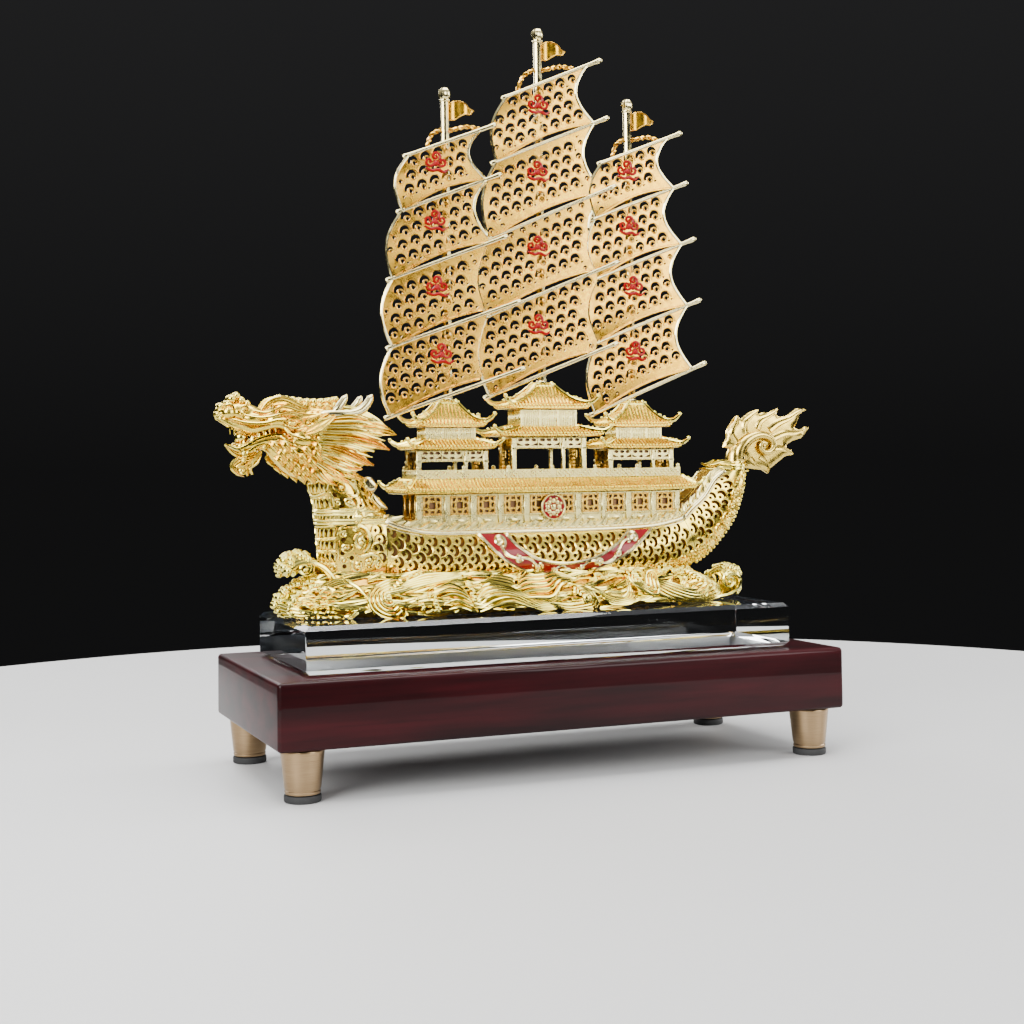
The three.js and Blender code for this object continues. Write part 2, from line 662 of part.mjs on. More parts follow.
function sheetBody(mast, row) {
  const [nu, nv] = [8, 5];
  const front = [];
  for (let j = 0; j <= nv; j += 1) {
    for (let i = 0; i <= nu; i += 1) {
      front.push(sheetPoint(mast, row, i / nu, j / nv));
    }
  }
  const back = front.map(([x, y, z]) => [x, y + SHEET.thick, z]);
  const positions = [...front, ...back].flat();
  const offset = front.length;
  const at = (i, j) => j * (nu + 1) + i;
  const faces = [];
  for (let j = 0; j < nv; j += 1) {
    for (let i = 0; i < nu; i += 1) {
      const quad = [at(i, j), at(i + 1, j), at(i + 1, j + 1), at(i, j + 1)];
      faces.push(quad[0], quad[1], quad[2], quad[0], quad[2], quad[3]);
      const rear = quad.map((index) => index + offset);
      faces.push(rear[0], rear[2], rear[1], rear[0], rear[3], rear[2]);
    }
  }
  const rim = [
    ...Array.from({ length: nu }, (_, i) => at(i, 0)),
    ...Array.from({ length: nv }, (_, j) => at(nu, j)),
    ...Array.from({ length: nu }, (_, i) => at(nu - i, nv)),
    ...Array.from({ length: nv }, (_, j) => at(0, nv - j)),
  ];
  rim.forEach((a, k) => {
    const b = rim[(k + 1) % rim.length];
    faces.push(a, b + offset, b, a, a + offset, b + offset);
  });
  return closedBody(positions, faces);
}

// The space that the next sail's luff needs, as one block from that edge to the right.
function luffSpace(mast) {
  const { clear, above, below, behind, halfY } = LUFF_SPACE;
  const edge = [0, 1, 2, 3].flatMap((row) => [0.9, 0.7, 0.5, 0.3, 0.1].map((v) => {
    const [x, , z] = sheetPoint(mast, row, 0, v);
    return [x - clear, z];
  }));
  const topZ = mast.yards[0][0][1] + above;
  const bottomZ = mast.yards[4][0][1] - below;
  const [firstX, lastX] = [edge[0][0], edge[edge.length - 1][0]];
  const outline = [
    [firstX + 4, topZ], ...edge, [lastX, bottomZ], [lastX + behind, bottomZ], [lastX + behind, topZ],
  ];
  return side(outline, -halfY, halfY);
}

function sailBody(mast, next) {
  const yards = mast.yards.map(([left, right]) => bar([
    [left[0], yardY(mast, left[0]), left[1], YARD.radius],
    [right[0], yardY(mast, right[0]), right[1], YARD.radius],
  ], 6));
  let sheets = [0, 1, 2, 3].map((row) => sheetBody(mast, row));
  if (next) {
    sheets = sheets.map((sheet) => sheet.subtract(luffSpace(next)));
  }
  const stays = mast.stays.map(([x, z], k) => {
    const reach = k === 0 ? -1 : 1;
    const start = MAST.bottom + GAP + STAY.radius;
    return bar([
      [mast.x + reach * start, STAY.startY, mast.top - STAY.below, STAY.radius],
      [x, yardY(mast, x), z, STAY.radius],
    ], 6);
  });
  return join([...yards, ...sheets, ...stays]);
}

function pennantBody({ x, top }) {
  const left = x + MAST.bottom + GAP;
  const outline = PENNANT.map(([across, below]) => [left + across, top - below]);
  return side(outline, -PENNANT_HALF, PENNANT_HALF);
}

function buildRig() {
  MASTS.forEach((mast, index) => {
    add(`${mast.name}_mast`, mastBody(mast), PALE_GOLD);
    add(`${mast.name}_sail`, sailBody(mast, MASTS[index + 1]), PALE_GOLD);
    add(`${mast.name}_pennant`, pennantBody(mast), PALE_GOLD);
  });
}

// Dragon head and tail

// Cross sections of the head from nape to nose: place, middle height and half sizes.
const HEAD_SECTIONS = [
  { x: -68, z: 124, tall: 9, wide: 8 },
  { x: -76, z: 125, tall: 12, wide: 10.6 },
  { x: -88, z: 126, tall: 12, wide: 11 },
  { x: -98, z: 129, tall: 9.6, wide: 9.4 },
  { x: -108, z: 134, tall: 5.6, wide: 7.4 },
  { x: -118, z: 137.6, tall: 4.4, wide: 6.4 },
  { x: -126, z: 140.6, tall: 4.6, wide: 5.4 },
  { x: NOSE_X, z: 141.6, tall: 2.6, wide: 3 },
];

function headRing({ x, z, tall, wide }) {
  return Array.from({ length: 16 }, (_, k) => {
    const angle = (2 * Math.PI * k) / 16;
    return [x, wide * Math.cos(angle), z + tall * Math.sin(angle)];
  });
}

// Flames of the mane: where each starts on the nape and where it ends, as [x, y, z].
const MANE = [
  { from: [-72, 0, 132], to: [-60.4, 0, 129.4], root: 3.4 },
  { from: [-72, -7, 128], to: [-62, -9, 133], root: 3 },
  { from: [-72, 7, 128], to: [-62, 9, 133], root: 3 },
  { from: [-74, -8.4, 122], to: [-65, -10.6, 121], root: 3 },
  { from: [-74, 8.4, 122], to: [-65, 10.6, 121], root: 3 },
  { from: [-76, -7, 116], to: [-69, -9.6, 114.4], root: 2.6 },
  { from: [-76, 7, 116], to: [-69, 9.6, 114.4], root: 2.6 },
];

function buildHead() {
  const skull = loft(HEAD_SECTIONS.map(headRing));
  const flames = MANE.map(({ from, to, root }) => bar([[...from, root], [...to, 0.5]], 6));
  add("dragon_head", join([skull, ...flames]), GOLD);
  add("lower_jaw", loft([
    headRing({ x: -101, z: 119.2, tall: 2.4, wide: 6 }),
    headRing({ x: -110, z: 122.8, tall: 3, wide: 5.4 }),
    headRing({ x: -118, z: 127, tall: 2.6, wide: 4.6 }),
    headRing({ x: -122.4, z: 129.4, tall: 1.2, wide: 3 }),
  ]), GOLD);
  add("beard", join([
    bar([[-108, 0, 116.6, 2], [-117.4, 0, 118.4, 2], [-122, 0, 113.8, 0.6]], 6),
    bar([[-108, 0, 116.4, 2], [-115.4, 0, 113.4, 1.6], [-114, 0, 109.4, 0.6]], 6),
  ]), GOLD);
  for (const [flank, sy] of [["port", -1], ["starboard", 1]]) {
    add(`horn_${flank}`, bar([
      [-90, sy * 5, 139.8, 2.2],
      [-82.6, sy * 6, 138.6, 2],
      [-75, sy * 7, 139.6, 1.6],
      [-68.6, sy * 7.6, 144.2, 0.6],
    ], 8), GOLD);
  }
}

// Outline of the flame-shaped tail fin as [x, z].
const TAIL_OUTLINE = [
  [88.4, 114], [89.8, 122.6], [87.2, 124.4], [94, 136.5], [98.6, 134.6], [104.6, 139.4], [108, 136],
  [113.4, 140.2], [117.4, 136.6], [128.3, 139.8], [125.4, 134.4], [TAIL_X, 131.4],
  [123.4, 127.4], [121.8, 120], [115.6, 119.6], [108.4, 111.8], [101.6, 113.4], [97.8, 114],
];

function buildTail() {
  add("tail_collar", loft([
    ovalRing(91, 0, 113.4 + GAP, 5.6, 4.8, 2, 16),
    ovalRing(91.2, 0, 115.4, 6, 5, 2, 16),
    ovalRing(91.8, 0, 117, 5, 3.2, 2, 16),
  ]), GOLD);
  const fin = side(TAIL_OUTLINE, -2, 2);
  const space = box([80, 97.5], [-6, 6], [100, 117 + GAP]);
  add("tail_fin", fin.subtract(space), GOLD);
}

// Enamel crescent along each side of the hull

function buildCrescents() {
  const outer = [[-29.5, 89.4], [-22, 81.6], [-10, 75.6], [4, 73.4], [20, 75.6], [34, 81.6], [46, 89.6]];
  const inner = [[35.4, 89.4], [28, 84], [18, 79.8], [6, 78.2], [-6, 80], [-14, 84.4], [-18, 89.2]];
  for (const [flank, sy] of [["port", -1], ["starboard", 1]]) {
    const faces = [sy * 8, sy * 20].sort((a, b) => a - b);
    const prism = side([...outer, ...inner], faces[0], faces[1]);
    const skin = hullBody(GAP + 0.9).subtract(hullBody(GAP));
    add(`crescent_${flank}`, prism.intersect(skin), RED_ENAMEL);
  }
}

buildStand();
buildHull();
buildWaves();
buildCabin();
PAVILIONS.forEach(buildPavilion);
buildRig();
buildHead();
buildTail();
buildCrescents();

export default boat;
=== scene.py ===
import math

import bmesh
import bpy
import numpy as np
from mathutils import Matrix, Vector
from mathutils.geometry import delaunay_2d_cdt


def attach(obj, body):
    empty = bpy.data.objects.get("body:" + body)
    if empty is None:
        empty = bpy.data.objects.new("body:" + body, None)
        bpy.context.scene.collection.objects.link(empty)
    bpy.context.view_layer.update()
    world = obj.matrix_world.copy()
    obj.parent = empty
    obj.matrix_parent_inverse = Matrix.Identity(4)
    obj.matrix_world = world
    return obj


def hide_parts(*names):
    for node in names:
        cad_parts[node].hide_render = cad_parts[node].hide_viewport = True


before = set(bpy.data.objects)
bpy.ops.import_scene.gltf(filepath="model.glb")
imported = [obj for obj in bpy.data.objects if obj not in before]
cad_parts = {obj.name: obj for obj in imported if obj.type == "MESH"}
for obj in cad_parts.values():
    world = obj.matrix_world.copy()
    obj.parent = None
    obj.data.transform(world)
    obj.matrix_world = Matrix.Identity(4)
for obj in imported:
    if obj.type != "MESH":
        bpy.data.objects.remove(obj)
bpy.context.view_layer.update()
MM = 0.001
GAP = 0.3
PORT, STARBOARD = -1, 1
SIDES = (PORT, STARBOARD)
# What is drawn on the port side is multiplied in y by this to lie on the flank named.
FLANKS = (("port", 1), ("starboard", -1))


# Shells and pieces

class Shells:
    """Closed shells in millimetres, collected to become one piece."""

    def __init__(self):
        self.points = []
        self.faces = []
        self.size = 0

    def add(self, points, faces):
        points = np.asarray(points, float).reshape(-1, 3)
        self.points.append(points)
        self.faces.extend([tuple(int(i) + self.size for i in face) for face in faces])
        self.size += len(points)

    def take(self, other, place=None):
        points = np.vstack(other.points)
        self.add(place(points) if place else points, other.faces)

    def flipped(self, flip):
        """A copy, mirrored to the other side of the boat where flip is -1."""
        copy = Shells()
        copy.take(self, lambda points: points * [1, flip, 1])
        return copy

    def on_both_sides(self):
        """The same shells again, mirrored to the other side of the boat."""
        self.add(np.vstack(self.points) * [1, -1, 1], list(self.faces))
        return self


def make_mesh(name, shells, sharp=38):
    mesh = bpy.data.meshes.new(name)
    mesh.from_pydata((np.vstack(shells.points) * MM).tolist(), [], shells.faces)
    graph = bmesh.new()
    graph.from_mesh(mesh)
    bmesh.ops.recalc_face_normals(graph, faces=graph.faces)
    graph.to_mesh(mesh)
    graph.free()
    mesh.shade_smooth()
    mesh.set_sharp_from_angle(angle=math.radians(sharp))
    return mesh


def make_piece(name, shells, finish, nodes=(), sharp=38):
    """One piece from its shells: rides on the root body and stands for the CAD nodes named."""
    piece = bpy.data.objects.new(name, make_mesh(name, shells, sharp))
    bpy.context.scene.collection.objects.link(piece)
    piece.data.materials.append(finish)
    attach(piece, "root")
    if nodes:
        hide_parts(*nodes)
    return piece


def fuse(piece, voxel):
    """Melts a piece's overlapping shells into one skin, as in a casting."""
    remesh = piece.modifiers.new("melt", "REMESH")
    remesh.mode = "VOXEL"
    remesh.voxel_size = voxel * MM
    remesh.use_smooth_shade = True
    soften = piece.modifiers.new("soften", "SMOOTH")
    soften.factor = 0.5
    soften.iterations = 2
    graph = bpy.context.evaluated_depsgraph_get()
    melted = bpy.data.meshes.new_from_object(piece.evaluated_get(graph))
    finish = piece.data.materials[0]
    piece.modifiers.clear()
    piece.data = melted
    melted.materials.clear()
    melted.materials.append(finish)
    melted.shade_smooth()
    return piece


# Curves

def spline(rows, count):
    """A smooth run of rows through the rows given, whatever their columns are."""
    rows = np.asarray(rows, float)
    ends = np.vstack([2 * rows[0] - rows[1], rows, 2 * rows[-1] - rows[-2]])
    t = np.linspace(0, len(rows) - 1, count)
    k = np.minimum(t.astype(int), len(rows) - 2)
    f = (t - k)[:, None]
    a, b, c, d = (ends[k + i] for i in range(4))
    return 0.5 * (2 * b + (c - a) * f + (2 * a - 5 * b + 4 * c - d) * f**2 + (3 * b - a - 3 * c + d) * f**3)


def unit(vectors):
    vectors = np.asarray(vectors, float)
    return vectors / np.maximum(np.linalg.norm(vectors, axis=-1, keepdims=True), 1e-9)


def along(path):
    return unit(np.gradient(path, axis=0))


def evenly(path, step):
    """The same path with points about step apart."""
    lengths = np.concatenate([[0], np.cumsum(np.linalg.norm(np.diff(path, axis=0), axis=1))])
    count = max(2, int(round(lengths[-1] / step)) + 1)
    wanted = np.linspace(0, lengths[-1], count)
    return np.stack([np.interp(wanted, lengths, column) for column in path.T], axis=1)


# Shapes

def loft(shells, rings):
    """A closed shell through rings that have the same number of points."""
    rings = np.asarray(rings, float)
    n, m = rings.shape[:2]
    faces = [
        (i * m + j, i * m + (j + 1) % m, (i + 1) * m + (j + 1) % m, (i + 1) * m + j)
        for i in range(n - 1) for j in range(m)
    ]
    faces += [(n * m, (j + 1) % m, j) for j in range(m)]
    faces += [(n * m + 1, (n - 1) * m + j, (n - 1) * m + (j + 1) % m) for j in range(m)]
    shells.add(np.vstack([rings.reshape(-1, 3), rings[0].mean(0), rings[-1].mean(0)]), faces)


def hoop(shells, rings):
    """A closed shell through rings, where the last ring meets the first again."""
    rings = np.asarray(rings, float)
    n, m = rings.shape[:2]
    shells.add(rings.reshape(-1, 3), [
        (i * m + j, i * m + (j + 1) % m, (i + 1) % n * m + (j + 1) % m, (i + 1) % n * m + j)
        for i in range(n) for j in range(m)
    ])


def tube(shells, rows, sides=8, count=None, loop=False):
    """A round bar through rows of x, y, z and radius, with rounded ends."""
    rows = np.asarray(rows, float)
    if count:
        rows = spline(rows, count)
    path, radii = rows[:, :3], rows[:, 3]
    if not loop:
        start, end = unit(path[0] - path[1]), unit(path[-1] - path[-2])
        path = np.vstack([path[0] + start * radii[0] * 0.6, path, path[-1] + end * radii[-1] * 0.6])
        radii = np.concatenate([[radii[0] * 0.62], radii, [radii[-1] * 0.62]])
    tangents = along(path)
    if loop:
        tangents = unit(np.roll(path, -1, 0) - np.roll(path, 1, 0))
    normal = unit(np.cross(tangents[0], [0.13, 0.31, 0.94]))
    angles = np.linspace(0, 2 * math.pi, sides, endpoint=False)
    rings = []
    for centre, tangent, radius in zip(path, tangents, radii):
        normal = unit(normal - np.dot(normal, tangent) * tangent)
        other = np.cross(tangent, normal)
        rings.append(centre + radius * (np.outer(np.cos(angles), normal) + np.outer(np.sin(angles), other)))
    (hoop if loop else loft)(shells, rings)


def bar(shells, path, radius, sides=8, loop=False):
    """A tube along a path, with one radius or one for each point."""
    tube(shells, np.column_stack([path, np.broadcast_to(radius, len(path))]), sides=sides, loop=loop)


def rope(shells, rows, radius, pitch):
    """Two round strands laid round each other along a path of x, y, z rows."""
    path = evenly(spline(rows, 40), pitch / 6)
    tangents = along(path)
    across = unit(np.cross(tangents, [0, 1, 0]))
    other = np.cross(tangents, across)
    turn = np.arange(len(path)) * (2 * math.pi / 12)
    for phase in (0, math.pi):
        angle = (turn + phase)[:, None]
        strand_path = path + 0.62 * radius * (np.cos(angle) * across + np.sin(angle) * other)
        bar(shells, strand_path, radius * 0.66, 6)


def strand(shells, rows, normal, ridges=2, relief=0.3, count=16, span=9, back=0.35):
    """A leaf with lengthwise ridges, through rows of x, y, z, half width and height above normal."""
    rows = spline(rows, count)
    path = rows[:, :3]
    half = np.maximum(rows[:, 3], 0.06)[:, None, None]
    height = np.maximum(rows[:, 4], 0.06)[:, None, None]
    tangent = along(path)
    side = unit(np.cross(np.broadcast_to(normal, path.shape), tangent))[:, None, :]
    up = unit(np.cross(tangent[:, None, :], side))
    s = np.linspace(-1, 1, span)
    crown = np.sqrt(1 - 0.93 * s**2) * (1 - relief * (0.5 + 0.5 * np.cos(math.pi * ridges * (s + 1))))
    across = np.concatenate([s, [0.75, 0, -0.75]])[None, :, None]
    lift = np.concatenate([crown, [-back * 0.6, -back, -back * 0.6]])[None, :, None]
    loft(shells, path[:, None, :] + side * across * half + up * lift * height)


def scroll_path(centre, ex, ey, radius, turns, start=0.0, inner=0.18, count=26):
    """A spiral in the plane of ex and ey, from its outside to its eye."""
    t = np.linspace(0, 1, count)
    reach = radius * (1 - (1 - inner) * t**0.85)
    angle = start + 2 * math.pi * turns * t
    flat = np.stack([reach * np.cos(angle), reach * np.sin(angle)], axis=1)
    return np.asarray(centre) + flat[:, :1] * np.asarray(ex) + flat[:, 1:] * np.asarray(ey)


def scroll(shells, centre, radius, turns, start, width, ex=(1, 0, 0), sides=6):
    """A round-bar spiral with a bead in its eye, in the upright plane through ex."""
    path = scroll_path(centre, ex, (0, 0, 1), radius, turns, start)
    bar(shells, path, np.linspace(width, width * 0.6, len(path)), sides)
    bead(shells, path[-1], width * 1.25)


def icosphere(detail):
    graph = bmesh.new()
    bmesh.ops.create_icosphere(graph, subdivisions=detail, radius=1)
    points = np.array([v.co[:] for v in graph.verts])
    faces = [tuple(v.index for v in f.verts) for f in graph.faces]
    graph.free()
    return points, faces


BALLS = {detail: icosphere(detail) for detail in (2, 3)}


def bead(shells, centre, radius, stretch=(1, 1, 1), detail=2):
    points, faces = BALLS[detail]
    shells.add(points * radius * np.asarray(stretch, float) + np.asarray(centre, float), faces)


def block(shells, low, high, bevel=0.15):
    """A box with its edges cut off."""
    low, high = np.minimum(low, high).astype(float), np.maximum(low, high).astype(float)
    middle, half = (low + high) / 2, (high - low) / 2
    bevel = min(bevel, half.min() * 0.6)
    signs = [(a, b, c) for a in (-1, 1) for b in (-1, 1) for c in (-1, 1)]
    index = {sign: k for k, sign in enumerate(signs)}
    points = []
    for sign in signs:
        for axis in range(3):
            inset = np.full(3, bevel)
            inset[axis] = 0
            points.append(middle + np.array(sign) * (half - inset))
    faces = [tuple(3 * index[sign] + axis for axis in range(3)) for sign in signs]
    for axis in range(3):
        b, c = [other for other in range(3) if other != axis]
        for s in (-1, 1):
            loop = []
            for sb, sc in ((-1, -1), (1, -1), (1, 1), (-1, 1)):
                sign = [0, 0, 0]
                sign[axis], sign[b], sign[c] = s, sb, sc
                loop.append(3 * index[tuple(sign)] + axis)
            faces.append(tuple(loop))
        for sb in (-1, 1):
            for sc in (-1, 1):
                ends = []
                for s in (-1, 1):
                    sign = [0, 0, 0]
                    sign[axis], sign[b], sign[c] = s, sb, sc
                    ends.append(3 * index[tuple(sign)])
                faces.append((ends[0] + b, ends[1] + b, ends[1] + c, ends[0] + c))
    shells.add(points, faces)


def lathe(shells, profile, x, y, sides=32, lobes=0, swell=0.0):
    """A turned shape from rows of radius and z. Lobes give it a petalled section."""
    angles = np.linspace(0, 2 * math.pi, sides, endpoint=False)
    reach = 1 + swell * np.cos(lobes * angles)
    loft(shells, [
        np.stack([x + r * reach * np.cos(angles), y + r * reach * np.sin(angles), np.full(sides, z)], axis=1)
        for r, z in profile
    ])


def rounded_ring(x, y, z, half_x, half_y, corner, steps=5):
    """A level rectangle with round corners."""
    ring = []
    for sx, sy, start in ((1, 1, 0), (-1, 1, 1), (-1, -1, 2), (1, -1, 3)):
        for angle in np.linspace(start, start + 1, steps) * math.pi / 2:
            ring.append([
                x + sx * (half_x - corner) + corner * math.cos(angle),
                y + sy * (half_y - corner) + corner * math.sin(angle), z,
            ])
    return ring


def rounded_block(shells, x, y, z0, z1, half_x, half_y, edge, corner, steps=4):
    """A block whose upright corners and whose top and bottom edges are rounded."""
    turns = np.linspace(0, math.pi / 2, steps + 1)
    levels = [(z0 + edge * (1 - math.cos(a)), edge * (1 - math.sin(a))) for a in turns]
    levels += [(z1 - edge * (1 - math.cos(a)), edge * (1 - math.sin(a))) for a in turns[::-1]]
    loft(shells, [
        rounded_ring(x, y, z, half_x - inset, half_y - inset, max(corner - inset, 0.05))
        for z, inset in levels
    ])


def upright_rings(x, y, z, profile, count):
    """Circles that face port, round (x, y, z), from rows of radius and distance inboard."""
    rim = circle(0, 0, 1, count)
    return [
        np.stack([x + r * rim[:, 0], np.full(count, y + h), z + r * rim[:, 1]], axis=1)
        for r, h in profile
    ]


def inside(points, outline):
    """Which of the flat points lie inside the outline."""
    points, outline = np.asarray(points, float), np.asarray(outline, float)
    found = np.zeros(len(points), bool)
    for (x0, y0), (x1, y1) in zip(outline, np.roll(outline, -1, 0)):
        if y0 == y1:
            continue
        crosses = (points[:, 1] < y0) != (points[:, 1] < y1)
        found ^= crosses & (points[:, 0] < x0 + (points[:, 1] - y0) * (x1 - x0) / (y1 - y0))
    return found


def clearance(points, outline):
    """How far each flat point is from the outline."""
    points, outline = np.asarray(points, float), np.asarray(outline, float)
    ends = np.roll(outline, -1, 0)
    leg = ends - outline
    rel = points[:, None, :] - outline[None]
    t = np.clip((rel * leg).sum(2) / np.maximum((leg**2).sum(1), 1e-9), 0, 1)
    return np.linalg.norm(rel - t[..., None] * leg, axis=2).min(1)


def leftward(loop):
    """The same flat loop, run anticlockwise."""
    loop = np.asarray(loop, float)
    u, v = loop.T
    return loop if np.dot(u, np.roll(v, -1)) > np.dot(v, np.roll(u, -1)) else loop[::-1]


def plate(shells, outline, holes, place, low, high, step):
    """A sheet with holes: drawn flat in (u, v), then laid by place(u, v, w) for w from low to high."""
    outline = evenly(np.vstack([outline, outline[:1]]), step)[:-1]
    loops = [leftward(loop) for loop in [outline, *holes]]
    (u0, v0), (u1, v1) = outline.min(0), outline.max(0)
    grid = np.stack(np.meshgrid(np.arange(u0, u1, step), np.arange(v0, v1, step)), -1).reshape(-1, 2)
    grid = grid[inside(grid, outline)]
    if len(grid):
        grid = grid[clearance(grid, outline) > step * 0.4]
    points = [tuple(p) for loop in loops for p in loop] + [tuple(p) for p in grid]
    rings, start = [], 0
    for loop in loops:
        rings.append(list(range(start, start + len(loop))))
        start += len(loop)
    flat, _, cells, _, _, owners = delaunay_2d_cdt([Vector(p) for p in points], [], rings, 0, 1e-5)
    kept = [tuple(cell) for cell, owner in zip(cells, owners) if list(owner) == [0]]
    flat = np.array([p[:] for p in flat])
    edges = dict.fromkeys((a, b) for cell in kept for a, b in zip(cell, cell[1:] + cell[:1]))
    rim = [(a, b) for a, b in edges if (b, a) not in edges]
    n = len(flat)
    faces = kept + [tuple(i + n for i in reversed(cell)) for cell in kept]
    faces += [(b, a, a + n, b + n) for a, b in rim]
    u, v = flat[:, 0], flat[:, 1]
    shells.add(np.vstack([place(u, v, np.full(n, high)), place(u, v, np.full(n, low))]), faces)


def pillow(outline, edge, swell, reach):
    """Lays an upright leaf on the boat's middle plane, thin at its edge and swollen inside."""
    def place(x, z, w):
        inward = np.clip(clearance(np.stack([x, z], 1), outline) / reach, 0, 1)
        return np.stack([x, np.sign(w) * (edge + swell * np.sqrt(1 - (1 - inward) ** 2)), z], -1)
    return place


def laid(place, flat, w):
    """Flat points laid by place(u, v, w), all at one height."""
    return place(flat[:, 0], flat[:, 1], np.full(len(flat), w))


def spot_on(place, u, v, w):
    """The one point at (u, v), laid by place(u, v, w)."""
    return place(np.array([u]), np.array([v]), np.array([w]))[0]


def on_side(rows, side):
    """Rows of x, y, z and more, given to starboard and put on the side named by its sign."""
    rows = np.array(rows, float)
    rows[:, 1] *= side
    return rows


def circle(u, v, radius, count=10):
    angles = np.linspace(0, 2 * math.pi, count, endpoint=False)
    return np.stack([u + radius * np.cos(angles), v + radius * np.sin(angles)], axis=1)


def rectangle(u, v, half_u, half_v):
    return np.array([
        [u - half_u, v - half_v], [u + half_u, v - half_v], [u + half_u, v + half_v],
        [u - half_u, v + half_v],
    ])


# Finishes

class Nodes:
    """A node tree with its texture coordinates."""

    def __init__(self, tree):
        self.tree = tree
        self.where = tree.nodes.new("ShaderNodeTexCoord")

    def feed(self, node, sockets):
        """Gives each socket named its constant, or the output of another node."""
        for name, value in sockets.items():
            if isinstance(value, bpy.types.NodeSocket):
                self.tree.links.new(value, node.inputs[name])
            else:
                node.inputs[name].default_value = value

    def add(self, kind, sockets):
        node = self.tree.nodes.new(kind)
        self.feed(node, sockets)
        return node

    def shade(self, sockets):
        self.feed(self.tree.nodes["Principled BSDF"], sockets)

    def noise(self, scale, detail=3.0, stretch=None):
        """Noise in the object's own coordinates, with its scale in features per metre."""
        source = self.where.outputs["Object"]
        if stretch:
            source = self.add("ShaderNodeMapping", {"Scale": stretch, "Vector": source}).outputs["Vector"]
        texture = self.add("ShaderNodeTexNoise", {"Scale": scale, "Detail": detail, "Vector": source})
        return texture.outputs["Fac"]

    def remap(self, source, low, high, start=0.0, end=1.0):
        """Runs from low to high while the source runs from start to end."""
        node = self.add("ShaderNodeMapRange", {
            "From Min": start, "From Max": end, "To Min": low, "To Max": high, "Value": source,
        })
        return node.outputs["Result"]

    def mix(self, factor, first, second):
        """Mixes two colours, each given as a colour or as a socket."""
        node = self.tree.nodes.new("ShaderNodeMix")
        node.data_type = "RGBA"
        self.feed(node, {"Factor": factor})
        for name, colour in (("A", first), ("B", second)):
            socket = [s for s in node.inputs if s.name == name and s.type == "RGBA"][0]
            if isinstance(colour, tuple):
                socket.default_value = (*colour, 1)
            else:
                self.tree.links.new(colour, socket)
        return [s for s in node.outputs if s.type == "RGBA"][0]

    def bump(self, height, strength, distance):
        node = self.add("ShaderNodeBump", {
            "Strength": strength, "Distance": distance * MM, "Height": height,
        })
        return node.outputs["Normal"]


def new_material(name):
    material = bpy.data.materials.new(name)
    material.use_nodes = True
    return material, Nodes(material.node_tree)


def gilding(name, edge, hollow, rough, grain=0.12):
    """Metal leaf, unevenly polished, over a fine cast grain, with painted shade in its hollows and a painted
    highlight on its edges.
    """
    material, nodes = new_material(name)
    shape = nodes.add("ShaderNodeNewGeometry", {})
    # Painted shade: ambient occlusion darkens the colour towards the hollow colour in crevices and recesses.
    shut_in = nodes.add("ShaderNodeAmbientOcclusion", {"Distance": 2.2 * MM})
    shut_in.samples = 4
    open_part = nodes.remap(shut_in.outputs["AO"], 0.0, 1.0, 0.25, 0.85)
    base = nodes.mix(open_part, hollow, edge)
    # Painted highlight: sharp edges, found by pointiness, are paled towards a lighter copy of the edge colour.
    edge_highlight_mask = nodes.remap(shape.outputs["Pointiness"], 0.0, 1.0, 0.5, 0.6)
    pale = tuple(min(1.0, c * 1.06 + 0.04) for c in edge)
    base = nodes.mix(edge_highlight_mask, base, pale)
    patch = nodes.remap(nodes.noise(120, 4), 0.0, 0.16)
    nodes.shade({
        "Base Color": nodes.mix(patch, base, hollow),
        "Metallic": 1.0,
        "Roughness": nodes.remap(nodes.noise(420, 5), rough - 0.08, rough + 0.08, 0.3, 0.7),
        "Normal": nodes.bump(nodes.noise(2600, 4), grain, 0.12),
    })
    return material


def enamel(name, colour, deep, coat):
    material, nodes = new_material(name)
    nodes.shade({
        "Base Color": nodes.mix(nodes.noise(300, 4), deep, colour),
        "Roughness": 0.3, "Specular IOR Level": 0.2, "Coat Weight": coat, "Coat Roughness": 0.05,
        "Normal": nodes.bump(nodes.noise(500, 2), 0.1, 0.2),
    })
    return material


def lacquered_wood(name):
    """Dark mahogany grain, just visible under a thick gloss lacquer."""
    material, nodes = new_material(name)
    grain = nodes.noise(90, 8, stretch=(0.12, 1.0, 1.6))
    figure = nodes.noise(700, 3, stretch=(0.05, 1.0, 1.0))
    tone = nodes.mix(
        nodes.remap(grain, 0.0, 1.0, 0.35, 0.68), (0.008, 0.0006, 0.001), (0.034, 0.0018, 0.0035),
    )
    nodes.shade({
        "Base Color": nodes.mix(nodes.remap(figure, 0.0, 0.5, 0.5, 0.8), tone, (0.006, 0.001, 0.001)),
        "Roughness": 0.4, "Specular IOR Level": 0.08, "Coat Weight": 0.2, "Coat Roughness": 0.03,
        "Normal": nodes.bump(grain, 0.04, 0.2),
    })
    return material


def turned_metal(name):
    """Finely brushed round the upright axis, with a champagne tint."""
    material, nodes = new_material(name)
    lines = nodes.noise(900, 4, stretch=(0.12, 0.12, 6.0))
    nodes.shade({
        "Base Color": nodes.mix(lines, (0.24, 0.155, 0.08), (0.46, 0.32, 0.18)),
        "Metallic": 1.0,
        "Roughness": nodes.remap(lines, 0.22, 0.42),
        "Normal": nodes.bump(lines, 0.25, 0.05),
    })
    return material


def rubber(name):
    material, nodes = new_material(name)
    speck = nodes.noise(1500, 4)
    nodes.shade({
        "Base Color": nodes.mix(speck, (0.012, 0.012, 0.012), (0.03, 0.03, 0.03)),
        "Roughness": 0.75,
        "Normal": nodes.bump(speck, 0.4, 0.1),
    })
    return material


def crystal(name):
    """Clear glass with a faint cyan body that varies slightly."""
    material, nodes = new_material(name)
    nodes.shade({
        "Base Color": nodes.mix(nodes.noise(12, 2), (0.93, 0.985, 0.985), (0.97, 1.0, 1.0)),
        "Roughness": 0.0, "IOR": 1.52, "Transmission Weight": 1.0,
    })
    return material


